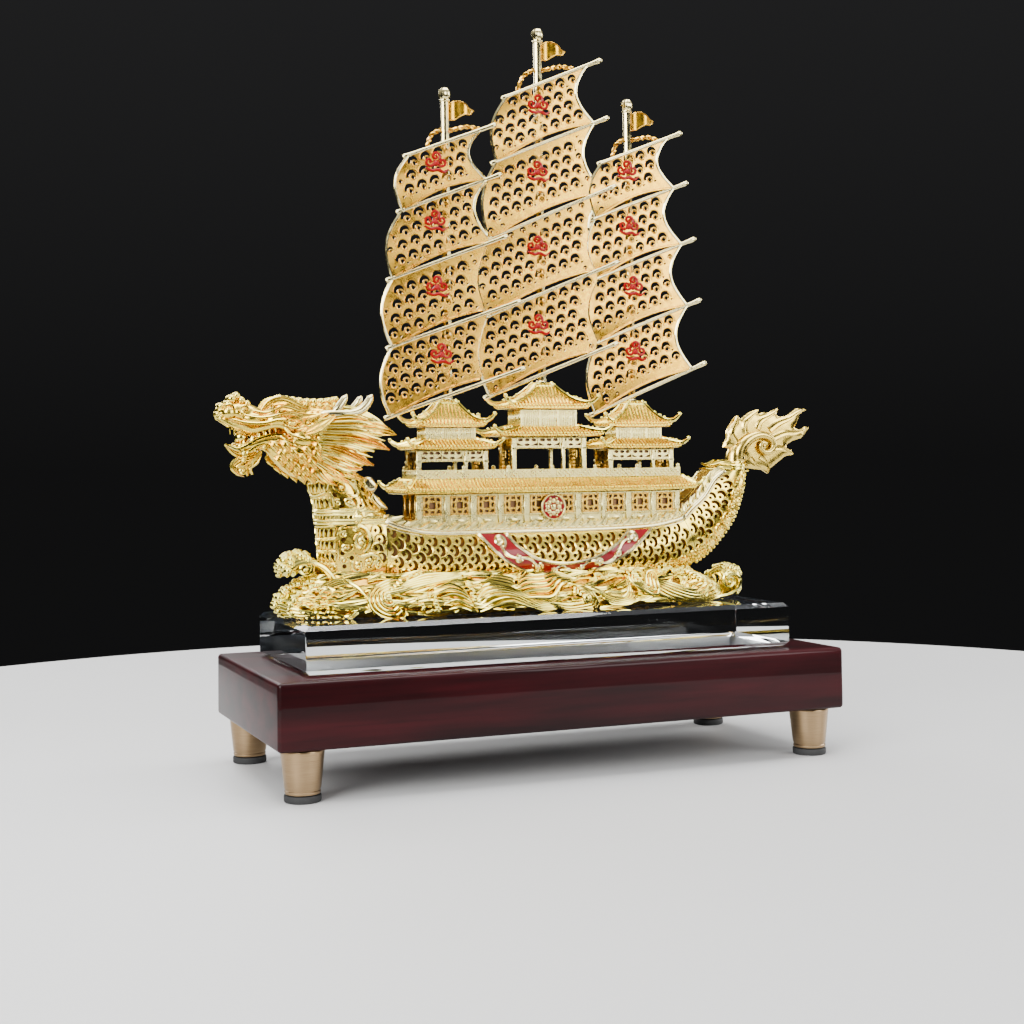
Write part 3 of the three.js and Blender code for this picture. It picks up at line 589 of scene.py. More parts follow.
GOLD = gilding("polished_gold", (1.0, 0.73, 0.09), (0.80, 0.38, 0.008), 0.24)
WAVE_GOLD = gilding("wave_gold", (1.0, 0.84, 0.17), (0.82, 0.45, 0.01), 0.17, grain=0.05)
# Painted shade: a far darker gold for the wave bed, which shows only between the ribs.
DEEP_GOLD = gilding("deep_gold", (0.60, 0.33, 0.04), (0.25, 0.11, 0.01), 0.25)
MANE_GOLD = gilding("mane_gold", (1.0, 0.80, 0.17), (0.82, 0.43, 0.015), 0.22)
BRIGHT_GOLD = gilding("bright_gold", (1.0, 0.80, 0.14), (0.80, 0.42, 0.01), 0.16, grain=0.06)
ROOF_GOLD = gilding("roof_gold", (1.0, 0.70, 0.05), (0.80, 0.39, 0.006), 0.24)
FRET_GOLD = gilding("fret_gold", (0.92, 0.56, 0.07), (0.54, 0.23, 0.01), 0.26)
SAIL_GOLD = gilding("sail_gold", (0.84, 0.47, 0.03), (0.52, 0.21, 0.008), 0.28, grain=0.2)
TAIL_GOLD = gilding("tail_gold", (0.80, 0.58, 0.11), (0.48, 0.30, 0.03), 0.24)
PALE_GOLD = gilding("pale_gold", (0.94, 0.80, 0.29), (0.62, 0.42, 0.08), 0.28, grain=0.15)
SILVERED = gilding("silvered_gold", (0.94, 0.80, 0.38), (0.64, 0.46, 0.14), 0.2, grain=0.05)
# Painted shade: a near-black gold for the insides seen through openings, which are dark only from shade.
SHADE_LINING = gilding("painted_shade_gold", (0.16, 0.075, 0.02), (0.07, 0.028, 0.006), 0.5)
RED_ENAMEL = enamel("red_enamel", (0.30, 0.0015, 0.008), (0.14, 0.001, 0.003), 0.35)
SAIL_ENAMEL = enamel("sail_enamel", (0.40, 0.003, 0.004), (0.24, 0.001, 0.002), 0.1)
LACQUER = lacquered_wood("mahogany_lacquer")
BRUSHED = turned_metal("turned_foot_metal")
PADS = rubber("pad_rubber")
GLASS = crystal("cut_crystal")
# Painted shade: a dark blue-grey sheet under the crystal, so the block reads dark from in front.
FILM = enamel("shade_film", (0.030, 0.036, 0.046), (0.018, 0.022, 0.03), 0.0)


# Stand

PLINTH = {"x": -3.5, "half_x": 115, "half_y": 50, "bottom": 18.5, "top": 42.5}
CRYSTAL = {"x": -5.1, "y": -1.7, "half_x": 100, "half_y": 35, "bottom": 42.8, "top": 60, "cut": 1.6}
FOOT_AT = (104.1, 40.8)
FOOT_PROFILE = [
    (0.2, 2.8), (5.9, 2.8), (6.25, 2.95), (6.4, 3.4), (6.38, 3.9), (6.2, 4.1), (6.25, 4.4), (6.5, 5.0),
    (7.1, 10.5), (7.75, 16.8), (7.9, 17.7), (7.8, 18.05), (7.5, 18.2), (0.2, 18.2),
]
PAD_PROFILE = [(0.2, 0), (6.1, 0), (6.45, 0.15), (6.6, 0.5), (6.6, 2.1), (6.5, 2.4), (6.2, 2.5), (0.2, 2.5)]


def build_stand():
    plinth = Shells()
    rounded_block(
        plinth, PLINTH["x"], 0, PLINTH["bottom"], PLINTH["top"], PLINTH["half_x"], PLINTH["half_y"], 1.5, 1.6,
    )
    make_piece("mahogany_plinth", plinth, LACQUER, ["plinth"], sharp=60)
    glass = Shells()
    c, cut = CRYSTAL, CRYSTAL["cut"]
    levels = [(c["bottom"], cut), (c["bottom"] + cut, 0), (c["top"] - cut, 0), (c["top"], cut)]
    loft(glass, [
        rounded_ring(c["x"], c["y"], z, c["half_x"] - inset, c["half_y"] - inset, 0.3, steps=3)
        for z, inset in levels
    ])
    make_piece("cut_crystal_block", glass, GLASS, ["crystal_block"], sharp=20)
    # Painted shade sheet between the plinth and the crystal.
    film = Shells()
    rounded_block(
        film, c["x"], c["y"], PLINTH["top"] + 0.02, c["bottom"] + 0.05, c["half_x"] - 3, c["half_y"] - 3,
        0.02, 0.3,
        steps=2,
    )
    make_piece("crystal_shade_film", film, FILM, ["crystal_block"], sharp=40)
    for end, sx in (("bow", -1), ("stern", 1)):
        for flank, sy in (("port", PORT), ("starboard", STARBOARD)):
            x, y = PLINTH["x"] + sx * FOOT_AT[0], sy * FOOT_AT[1]
            foot, pad = Shells(), Shells()
            lathe(foot, FOOT_PROFILE, x, y, 48)
            lathe(pad, PAD_PROFILE, x, y, 48)
            make_piece(f"turned_foot_{end}_{flank}", foot, BRUSHED, [f"foot_{end}_{flank}"])
            make_piece(f"soft_pad_{end}_{flank}", pad, PADS, [f"foot_pad_{end}_{flank}"])


# Masts, yards, sails and pennants

# Each mast with its sail's five yards from the top down: left and right ends as (x, z).
MASTS = [
    {
        "name": "fore", "x": -37.2, "foot": 142.2, "top": 267.4, "stays": [(-45.4, 242.6), (-24, 251)],
        "yards": [
            [(-55, 238.1), (-17.4, 252.8)], [(-57.9, 216), (-15.3, 233)], [(-62.2, 189.1), (-13, 208.2)],
            [(-62.5, 162.5), (-7.7, 182.3)], [(-63.5, 135.4), (-6.3, 155.4)],
        ],
    },
    {
        "name": "main", "x": 3.4, "foot": 149.4, "top": 295, "stays": [(-6.4, 268.4), (17.6, 278.8)],
        "yards": [
            [(-13.1, 264.4), (29.6, 283)], [(-18, 237.7), (32.4, 259.2)], [(-21.6, 206.2), (35.4, 231.1)],
            [(-22.9, 175.1), (36.2, 199.7)], [(-22, 143.4), (35.3, 166.2)],
        ],
    },
    {
        "name": "aft", "x": 43.8, "foot": 142.2, "top": 269, "stays": [(36, 244.2), (56, 252)],
        "yards": [
            [(29.1, 240.3), (66.6, 255.3)], [(25.4, 217.1), (69.1, 234.3)], [(26.3, 192.3), (72.2, 210.8)],
            [(25.5, 165.6), (74.4, 185.1)], [(24.3, 136.7), (76.2, 158.6)],
        ],
    },
]
YARD = {"radius": 0.8, "y": -3, "slew": 0.055}
SHEET = {"luff": 4.8, "leech": 6.4, "arch": 3, "billow": 1.4, "left_inset": 2, "right_inset": 6}
CELL = {
    "pitch": 5.6, "lean": 0.14, "eye": np.array([0.4, -0.65]), "eye_radius": 0.84, "arc": 2.58,
    "triangle": [(2.1, -0.7), (2.75, -1.7), (3.8, -0.45)],
}
# Where the first cell lies, in cells along and down from the upper yard's end.
PHASE = {
    ("fore", 2): (1.03, 1.09), ("fore", 3): (0.72, 0.7),
    ("main", 0): (0.97, 0.62), ("main", 1): (0.62, 1.11), ("main", 2): (0.28, 0.4), ("main", 3): (0.93, 0.64),
}
GUESSED_PHASE = (0.75, 0.62)


def yard_y(mast, x):
    return YARD["y"] - YARD["slew"] * (x - mast["x"])


def sheet_point(mast, row, u, v):
    """(x, z) on a sheet: u runs from luff to leech, v from the lower yard to the upper."""
    u, v = np.asarray(u, float), np.asarray(v, float)
    ends = []
    for (lx, lz), (rx, rz) in (mast["yards"][row + 1], mast["yards"][row]):
        length = rx - lx
        part = (SHEET["left_inset"] + u * (length - SHEET["left_inset"] - SHEET["right_inset"])) / length
        ends.append((lx + part * length, lz + part * (rz - lz)))
    swell = np.sin(math.pi * v)
    x = ends[0][0] + v * (ends[1][0] - ends[0][0]) - swell * (
        SHEET["luff"] + u * (SHEET["leech"] - SHEET["luff"])
    )
    z = ends[0][1] + v * (ends[1][1] - ends[0][1]) + SHEET["arch"] * np.sin(math.pi * u) * (1 - v) ** 2
    return np.stack([x, z], axis=-1)


def sheet_y(mast, row, x, z):
    """How deep the sheet lies at (x, z)."""
    def line(yard):
        (lx, lz), (rx, rz) = mast["yards"][yard]
        return lz + (x - lx) * (rz - lz) / (rx - lx)
    v = np.clip((z - line(row + 1)) / (line(row) - line(row + 1)), 0, 1)
    left, right = sheet_point(mast, row, 0, v)[..., 0], sheet_point(mast, row, 1, v)[..., 0]
    u = np.clip((x - left) / (right - left), 0, 1)
    return yard_y(mast, x) - SHEET["billow"] * np.sin(math.pi * v) * (1 - u)


def luff_limit(mast):
    """How far right a sheet may reach at height z before the next sail's luff is there."""
    if mast is None:
        return lambda z: np.full(np.shape(z), 1e3)
    points = np.vstack([sheet_point(mast, row, 0, np.linspace(1, 0, 12)) for row in range(4)])[::-1]
    low, high = points[0, 1], points[-1, 1]
    return lambda z: np.where(
        (np.asarray(z) > low) & (np.asarray(z) < high), np.interp(z, points[:, 1], points[:, 0]) - 0.7, 1e3,
    )


def crescent_hole(spot, size):
    """A crescent opening over the eye of a cell, thick at its top left."""
    outer, inner = np.radians(np.linspace(-2, 209, 14)), np.radians(np.linspace(186, 28, 12))
    reach = 2.4 - 0.5 * np.clip(np.cos(outer), 0, 1) ** 2
    points = np.vstack([
        np.stack([reach * np.cos(outer), reach * np.sin(outer)], 1),
        np.stack([1.48 * np.cos(inner), 1.48 * np.sin(inner)], 1) + CELL["eye"],
    ])
    return points * size + spot


def build_sheet(cloth, trim, bosses, mast, row, limit):
    steps = np.linspace(0, 1, 16)
    left = sheet_point(mast, row, 0, steps)
    right = sheet_point(mast, row, 1, steps[::-1])
    top = sheet_point(mast, row, steps[1:-1], 1)
    bottom = sheet_point(mast, row, steps[::-1][1:-1], 0)
    outline = np.vstack([left, top, right, bottom])
    outline[:, 0] = np.minimum(outline[:, 0], limit(outline[:, 1]))
    (lx, lz), (rx, rz) = mast["yards"][row]
    slope = math.atan2(rz - lz, rx - lx)
    run = np.array([math.cos(slope), math.sin(slope)]) * CELL["pitch"]
    drop = -np.array([CELL["lean"], 1]) * CELL["pitch"]
    along_yard, down_sheet = PHASE.get((mast["name"], row), GUESSED_PHASE)
    origin = np.array([lx, lz]) + run * along_yard + drop * down_sheet
    spots = np.array([origin + run * i + drop * j for i in range(-3, 14) for j in range(-1, 8)])
    eyes = spots + CELL["eye"]
    room = np.where(inside(spots, outline), clearance(spots, outline), 0)
    eye_room = np.where(inside(eyes, outline), clearance(eyes, outline), 0)
    holes = []
    for spot, eye, space, eye_space in zip(spots, eyes, room, eye_room):
        size = min(1, (space - 0.5) / 2.3)
        if size > 0.45:
            holes.append(crescent_hole(spot, size))
            eye, eye_space = spot + CELL["eye"] * size, eye_space / size
        else:
            size = 0.9
        if eye_space > 1.75:
            holes.append(circle(eye[0], eye[1], CELL["eye_radius"] * size, 10))
            bosses.append((row, eye, spot, size, space > 2.75))
    for spot in spots:
        small = np.array(CELL["triangle"]) + spot
        centre = small.mean(0, keepdims=True)
        if not inside(centre, outline)[0] or clearance(centre, outline)[0] < 1.4:
            continue
        if all(min(np.hypot(*(hole - corner).T).min() for corner in small) > 0.27 for hole in holes):
            holes.append(small)

    def place(x, z, w):
        return np.stack([x, sheet_y(mast, row, x, z) + w, z], axis=1)

    plate(cloth, outline, holes, place, -0.25, 0.15, 1.7)
    dense = np.linspace(0, 1, 24)
    for u, radius in ((0, 0.62), (1, 0.6)):
        edge = sheet_point(mast, row, u, dense)
        edge = edge[edge[:, 0] < limit(edge[:, 1]) + 0.2]
        if len(edge) > 4:
            bar(trim, laid(place, edge, -0.2), radius)
    lip = sheet_point(mast, row, dense, 0)
    lip = lip[lip[:, 0] < limit(lip[:, 1])]
    bar(cloth, laid(place, lip, -0.25), 0.5, 7)


def cloud_motif(shells, place, u, v, size):
    """A plain cloud scroll: three curled lobes over a curling tail, as on porcelain borders."""
    flat = Shells()
    ex, ey = (1, 0, 0), (0, 0, 1)
    for du, dv, radius, start, turns in (
        (-0.62, 0.1, 0.5, 0.2, -1.2), (0.62, 0.1, 0.5, math.pi - 0.2, 1.2), (0, 0.62, 0.46, -0.6, 1.2),
    ):
        path = scroll_path(
            (du * size, 0, dv * size), ex, ey, radius * size, turns, start, inner=0.2, count=20,
        )
        bar(flat, path, np.linspace(0.58, 0.4, len(path)), 7)
    tail = [
        (-0.95, 0, -0.5, 0.4), (-0.4, 0, -0.72, 0.6), (0.2, 0, -0.6, 0.66), (0.75, 0, -0.8, 0.52),
        (1.2, 0, -0.5, 0.2),
    ]
    tube(flat, [(x * size, y, z * size, r) for x, y, z, r in tail], sides=7, count=16)
    bead(flat, (0, 0, -0.06 * size), 0.26 * size)

    def lay(points):
        x, z = points[:, 0] + u, points[:, 2] + v
        return place(x, z, points[:, 1] * 0.8 - 0.55)

    shells.take(flat, lay)


def build_sail(mast, following):
    cloth, trim, rings, bosses, red = Shells(), Shells(), Shells(), [], Shells()
    limit = luff_limit(following)
    for row in range(4):
        build_sheet(cloth, trim, bosses, mast, row, limit)
    for row, eye, spot, size, whole in bosses:
        y = float(sheet_y(mast, row, eye[0], eye[1])) - 0.28
        profile = ((0.85 * size, 0.1), (0.89 * size, -0.28), (1.18 * size, -0.36), (1.44 * size, 0.1))
        hoop(rings, upright_rings(eye[0], y, eye[1], profile, 10))
        if whole:
            arc = np.radians(np.linspace(-2, 205, 8))
            x, z = spot[0] + CELL["arc"] * np.cos(arc), spot[1] + CELL["arc"] * np.sin(arc)
            bar(rings, np.stack([x, sheet_y(mast, row, x, z) - 0.28, z], 1), 0.2, 4)
    for (lx, lz), (rx, rz) in mast["yards"]:
        rows = [
            (lx + (rx - lx) * t, yard_y(mast, lx + (rx - lx) * t), lz + (rz - lz) * t, radius)
            for t, radius in (
                (0, 1.0), (0.03, 0.95), (0.08, 0.8), (0.5, 0.8), (0.93, 0.85), (0.97, 1.05), (1, 1.1),
            )
        ]
        tube(trim, rows, sides=12)
    for k, (x, z) in enumerate(mast["stays"]):
        reach = (-1, 1)[k]
        start = (mast["x"] + reach * 1.9, -0.6, mast["top"] - 17.4)
        end = (x, yard_y(mast, x) + 0.5, z)
        middle = [(start[0] + end[0]) / 2 + reach, (start[1] + end[1]) / 2, (start[2] + end[2]) / 2 + 1.2]
        rope(rings, [start, middle, end], 0.75, 2.4)
    for row in range(4):
        centre = sheet_point(mast, row, 0.5, 0.56)

        def place(x, z, w, row=row):
            return np.stack([x, sheet_y(mast, row, x, z) + w, z], axis=1)

        cloud_motif(red, place, centre[0] + 1.5, centre[1], 4.3)
    name = mast["name"]
    make_piece(f"{name}_sail_cloth", cloth, SAIL_GOLD, [f"{name}_sail"], sharp=30)
    make_piece(f"{name}_sail_yards", trim, SILVERED, [f"{name}_sail"])
    make_piece(f"{name}_sail_bosses", rings, SAIL_GOLD, [f"{name}_sail"])
    make_piece(f"{name}_sail_motifs", red, SAIL_ENAMEL)


def build_mast(mast):
    shaft = Shells()
    x, foot, top = mast["x"], mast["foot"] + GAP, mast["top"]
    profile = [(0.2, foot), (2.5, foot), (2.5, foot + 0.5), (2.1, foot + 0.9), (1.95, foot + 1.6)]
    profile += [(1.9 - 0.2 * t, foot + 2 + (top - 6 - foot - 2) * t) for t in np.linspace(0, 1, 8)]
    profile += [(2.1, top - 5.6), (2.15, top - 5.1), (1.75, top - 4.7)]
    lathe(shaft, profile + [(0.2, top - 4.5)], x, 0, 12)
    bud = [
        (0.2, top - 5), (1.6, top - 4.9), (2.2, top - 4.1), (2.45, top - 3), (2.3, top - 1.8),
        (1.8, top - 0.9),
    ]
    lathe(shaft, bud + [(1.2, top - 0.35), (0.5, top - 0.05), (0.1, top)], x, 0, 36, lobes=6, swell=0.07)
    make_piece(f"{mast['name']}_mast_pole", shaft, SILVERED, [f"{mast['name']}_mast"], sharp=26)


PENNANT = [
    (0, 6.5), (2.2, 5.3), (4.4, 5.2), (6.6, 6.2), (8.6, 8.0), (10.6, 8.5), (8.8, 10.2), (6.4, 10.3),
    (4.4, 11.2), (2.4, 12.7), (0, 13),
]


def build_pennant(mast):
    flag = Shells()
    left = mast["x"] + 2.0
    outline = np.array([(left + across, mast["top"] - below) for across, below in PENNANT])

    def place(x, z, w):
        return np.stack([x, 0.55 * np.sin((x - left) * 0.75) + w, z], axis=1)

    plate(flag, outline, [], place, -0.25, 0.25, 0.6)
    ring = evenly(np.vstack([outline, outline[:1]]), 0.8)[:-1]
    for w in (-0.26, 0.26):
        bar(flag, laid(place, ring, w), 0.28, 6, loop=True)
    name = mast["name"]
    make_piece(f"{name}_pennant_flag", flag, SAIL_GOLD, [f"{name}_pennant"])


def build_rig():
    for mast, following in zip(MASTS, MASTS[1:] + [None]):
        build_sail(mast, following)
        build_mast(mast)
        build_pennant(mast)


# Hull, stern and gunwale

# Aft along the boat: rim (x, z), keel (x, z), half width at the rim and at the belly.
SPINE = [
    (-65.7, 95.5, -65.7, 72.5, 7.4, 9.6), (-58, 92.6, -58, 70.5, 9.6, 12), (-45, 90.6, -45, 69, 10, 14),
    (-20, 90.6, -20, 69, 10.6, 15.4), (20, 90.6, 20, 69, 10.6, 15.4), (45, 91.2, 46, 69.5, 10, 14),
    (56, 92.8, 60, 71.5, 9.8, 12.4), (62.3, 94.6, 70, 75, 9.2, 11), (66.8, 98.1, 79.2, 80.9, 8, 9.4),
    (73.3, 102.9, 89.3, 92.1, 6.8, 7.9), (79.3, 109.8, 94.7, 104.2, 5.4, 6.2),
    (85.8, 113.4, 96.2, 113.4, 3.8, 4.5),
]
# Down the section as a share of its depth: shares of the rim's and of the belly's half width.
SECTION = spline([(0, 1, 0), (0.16, 0.5, 0.5), (0.42, 0, 1), (0.68, 0, 0.88), (0.9, 0, 0.6), (1, 0, 0.3)], 60)
ROWS = spline(SPINE, 400)
REACH = np.concatenate(
    [[0], np.cumsum(np.linalg.norm(np.diff(0.6 * ROWS[:, :2] + 0.4 * ROWS[:, 2:4], axis=0), axis=1))]
)
SPLIT = float(np.interp(62.15, ROWS[:, 0], REACH))
SCALE = {"pitch": 5.4, "row": 3.5, "first": 2.9}


def spine_at(s):
    return np.stack([np.interp(s, REACH, column) for column in ROWS.T], -1)


def depth_at(s):
    row = spine_at(s)
    return np.hypot(row[..., 0] - row[..., 2], row[..., 1] - row[..., 3])


def flank(s, v):
    """The port flank at s mm aft along it and v mm down from its rim."""
    s, v = np.broadcast_arrays(np.asarray(s, float), np.asarray(v, float))
    row = spine_at(s)
    down = v / depth_at(s)
    share = np.clip(down, 0, 1)
    y = row[..., 4] * np.interp(share, SECTION[:, 0], SECTION[:, 1])
    y = y + row[..., 5] * np.interp(share, SECTION[:, 0], SECTION[:, 2])
    return np.stack([
        row[..., 0] + (row[..., 2] - row[..., 0]) * down, -y,
        row[..., 1] + (row[..., 3] - row[..., 1]) * down,
    ], -1)


def on_flank(s, v, w):
    """The same, w mm out from the skin."""
    s, v, w = (np.asarray(a, float) for a in (s, v, w))
    ds = flank(s + 0.6, v) - flank(s - 0.6, v)
    dv = flank(s, v + 0.3) - flank(s, v - 0.3)
    return flank(s, v) + unit(np.cross(dv, ds)) * w[..., None]


def on_flank_xz(x, z, w):
    """The skin amidships at (x, z), where the ribs stand upright."""
    s = np.interp(x, ROWS[:, 0], REACH)
    return on_flank(s, spine_at(s)[..., 1] - z, w)


def flat_scroll(target, place, u, v, radius, turns, start, width, lift=0.25):
    """A spiral laid on a skin."""
    path = scroll_path((u, v, 0), (1, 0, 0), (0, 1, 0), radius, turns, start, count=22)
    path = laid(place, path, lift)
    bar(target, path, np.linspace(width, width * 0.7, len(path)), 6)
    bead(target, path[-1], width * 1.35)


def flat_bar(target, place, rows, count=12, lift=0.2, sides=6):
    """A bar laid on a skin through rows of u, v and radius."""
    rows = spline(rows, count)
    bar(target, laid(place, rows, lift), np.maximum(rows[:, 2], 0.08), sides)


def scale_hole(u, v, stretch=1.0, top=-1e3):
    """The two openings of one pierced fish scale: a lozenge, and a crescent behind it."""
    arc, back = np.radians(np.linspace(-68, 68, 9)), np.radians(np.linspace(68, -68, 8))
    crescent = np.vstack([
        np.stack([2.5 * np.cos(arc), 2.45 * np.sin(arc)], 1),
        np.stack([1.75 * np.cos(back) - 0.75, 1.8 * np.sin(back)], 1),
    ])
    lozenge = np.array([(0.9, 0), (0, 0.95), (-0.9, 0), (0, -0.95)]) - [0.6, 0]
    pair = [shape * [stretch, 1] + [u, v] for shape in (crescent, lozenge)]
    return [
        np.column_stack([shape[:, 0], np.maximum(shape[:, 1], top)])
        for shape in pair if shape[:, 1].max() > top + 0.8
    ]


def scale_holes(low, high):
    """The pierced fish scales of one length of the side, in staggered rows."""
    holes = []
    for j in range(-1, 7):
        for i in range(41):
            s, v = SCALE["pitch"] * (i + 0.5 * (j % 2)) + 1.5, SCALE["first"] + SCALE["row"] * j
            if low + 0.7 < s < high - 2.9 and v < depth_at(s) - 7.4:
                holes += scale_hole(s, v, top=1.3)
    return holes


def strip(steps, top, bottom):
    """The flat outline between two edges that run along the same steps."""
    edges = [np.stack([steps, np.broadcast_to(v, len(steps))], 1) for v in (top, bottom)]
    return np.vstack([edges[0], edges[1][::-1]])


def build_flank(shells, trim, low, high):
    """One length of the side: pierced skin, ring scrolls along its foot, and the edge behind them."""
    holes = scale_holes(low, high)
    steps = np.linspace(low, high, max(4, int((high - low) / 2)))
    plate(shells, strip(steps, 0.5, depth_at(steps) - 0.6), holes, on_flank, -0.7, 0.05, 1.5)
    for hole in holes:
        if len(hole) > 6 and hole[:, 1].min() > 1.6:
            middle = (hole[:, 1].min() + hole[:, 1].max()) / 2
            tip = hole[:, 0].max()
            flat_bar(shells, on_flank, [
                (tip - 2.4, middle - 2.6, 0.1), (tip - 0.5, middle - 1.9, 0.3), (tip + 0.36, middle, 0.36),
                (tip - 0.5, middle + 1.9, 0.3), (tip - 2.4, middle + 2.6, 0.1),
            ], count=9, lift=0.12, sides=5)
    for s in np.arange(low + 3, high - 1, 4.9):
        foot = float(depth_at(s))
        flat_scroll(trim, on_flank, s, foot - 5.1, 2.35, 1.5, math.pi * 0.9, 0.5)
        flat_scroll(trim, on_flank, s + 2.4, foot - 2.2, 1.7, -1.3, 0.4, 0.42)
        bead(trim, spot_on(on_flank, s + 2.4, foot - 4.6, 0.3), 0.6)


def build_lining(low, high, hollow):
    """An inner skin behind the pierced one, to carry the painted shade seen through its holes."""
    shells = Shells()
    rings = []
    for s in np.linspace(low, high, 36):
        v = np.linspace(0.2, depth_at(s) - 0.1, 18)
        outer = on_flank(np.full(18, s), v, np.full(18, -1.0))
        outer[:, 1] = np.minimum(outer[:, 1], -0.4)
        ring = np.vstack([outer, (outer * [1, -1, 1])[::-1]])
        if hollow:
            inner = on_flank(np.full(18, s), np.minimum(v, depth_at(s) - 2.4), np.full(18, -1.6))
            inner[:, 1] = np.minimum(inner[:, 1], -0.2)
            ring = np.vstack([ring, inner * [1, -1, 1], inner[::-1]])
        rings.append(ring)
    loft(shells, rings)
    return shells


def rim_point(s, h, w):
    """h mm above the rim, square to it in side view, and w mm out from it."""
    s, h, w = (np.asarray(a, float) for a in np.broadcast_arrays(s, h, w))
    row, after, before = spine_at(s), spine_at(s + 0.8), spine_at(s - 0.8)
    run = unit(after[..., :2] - before[..., :2])
    return np.stack([row[..., 0] - run[..., 1] * h, -(row[..., 4] + w), row[..., 1] + run[..., 0] * h], -1)


def build_rim(band, moulding, low, high):
    """The crest band that stands on the rim: leaning wave tips over a thick moulding."""
    steps = np.linspace(low, high, max(6, int((high - low) / 3)))
    plate(band, strip(steps, 0.4, 3.3), [], rim_point, -0.55, 0.05, 2.0)
    for s in np.arange(low + 0.6, high - 5.4, 6.2):
        fade = 1 - 0.45 * max(0.0, (s - SPLIT) / 50)
        for rows in (
            [(-0.4, 1.1, 0.3), (1.0, 1.8, 0.85), (2.6, 2.8, 0.9), (3.9, 3.9, 0.55), (4.7, 4.6, 0.2)],
            [(2.6, 0.9, 0.25), (4.0, 1.4, 0.5), (5.2, 2.2, 0.45), (6.0, 3.0, 0.15)],
        ):
            flat_bar(band, rim_point, [(s + a, b * fade, r) for a, b, r in rows], count=12, lift=0.2)
    steps = np.linspace(low, high, max(8, int((high - low) / 1.6)))
    for h, w, radius in ((0.05, 0.35, 1.05), (-1.35, 0.25, 0.42), (1.25, 0.25, 0.35)):
        bar(moulding, rim_point(steps, h, w), radius, 10)


CRESCENT_OUTER = [(-29.5, 89.4), (-22, 81.6), (-10, 75.6), (4, 73.4), (20, 75.6), (34, 81.6), (46, 89.6)]
CRESCENT_INNER = [(-18, 89.2), (-14, 84.4), (-6, 80), (6, 78.2), (18, 79.8), (28, 84), (35.4, 89.4)]


def build_crescent():
    """The enamelled sash on each flank: a silvered rim and running scrolls on red."""
    red, trim = Shells(), Shells()
    outer, inner = spline(CRESCENT_OUTER, 40), spline(CRESCENT_INNER, 36)

    def lift(x, z, w):
        return on_flank_xz(x, z, w + 0.3)

    plate(red, np.vstack([outer, inner[::-1]]), [], lift, 0, 0.75, 1.5)
    for edge in (outer, inner):
        bar(trim, laid(lift, edge, 0.8), 0.72)
    middle = spline((np.array(CRESCENT_OUTER) + np.array(CRESCENT_INNER)) / 2, 200)
    run = along(middle)
    for share, radius, turn, wide in (
        (0.075, 2.6, 1, 0.62), (0.24, 1.5, -1, 0.46), (0.37, 1.8, 1, 0.46), (0.46, 1.2, -1, 0.42),
        (0.6, 1.3, 1, 0.42),
        (0.69, 1.8, -1, 0.46), (0.8, 1.5, 1, 0.46), (0.93, 2.6, -1, 0.62),
    ):
        k = int(share * 199)
        side = 1 if share < 0.53 else -1
        start = math.atan2(run[k, 1], run[k, 0]) + (0 if side > 0 else math.pi)
        flat_scroll(trim, lift, middle[k, 0], middle[k, 1], radius, turn * 1.35, start, wide * 1.35, lift=0.9)
    knots = (0.08, 0.24, 0.37, 0.46, 0.53, 0.6, 0.69, 0.8, 0.92)
    for k, (first, second) in enumerate(zip(knots, knots[1:])):
        part = middle[int(first * 199):int(second * 199) + 1]
        across = np.stack([-along(part)[:, 1], along(part)[:, 0]], 1)
        wave = np.sin(np.linspace(0, math.pi, len(part)))[:, None] * (1.6 if k % 2 else -1.6)
        rows = np.column_stack([part + across * wave, 0.5 + 0.3 * wave[:, 0] ** 2 / 2.6])
        flat_bar(trim, lift, rows[::4], count=14, lift=0.85)
    for share in (0.12, 0.335, 0.7, 0.885):
        bead(trim, spot_on(lift, *middle[int(share * 199)], 0.9), 0.55)
    bead(trim, spot_on(lift, *middle[106], 0.8), 1.1)
    for flank_name, flip in FLANKS:
        face, lines = red.flipped(flip), trim.flipped(flip)
        make_piece(
            f"crescent_enamel_{flank_name}", face, RED_ENAMEL, [f"crescent_{flank_name}"],
        )
        make_piece(f"crescent_scrolls_{flank_name}", lines, SILVERED)


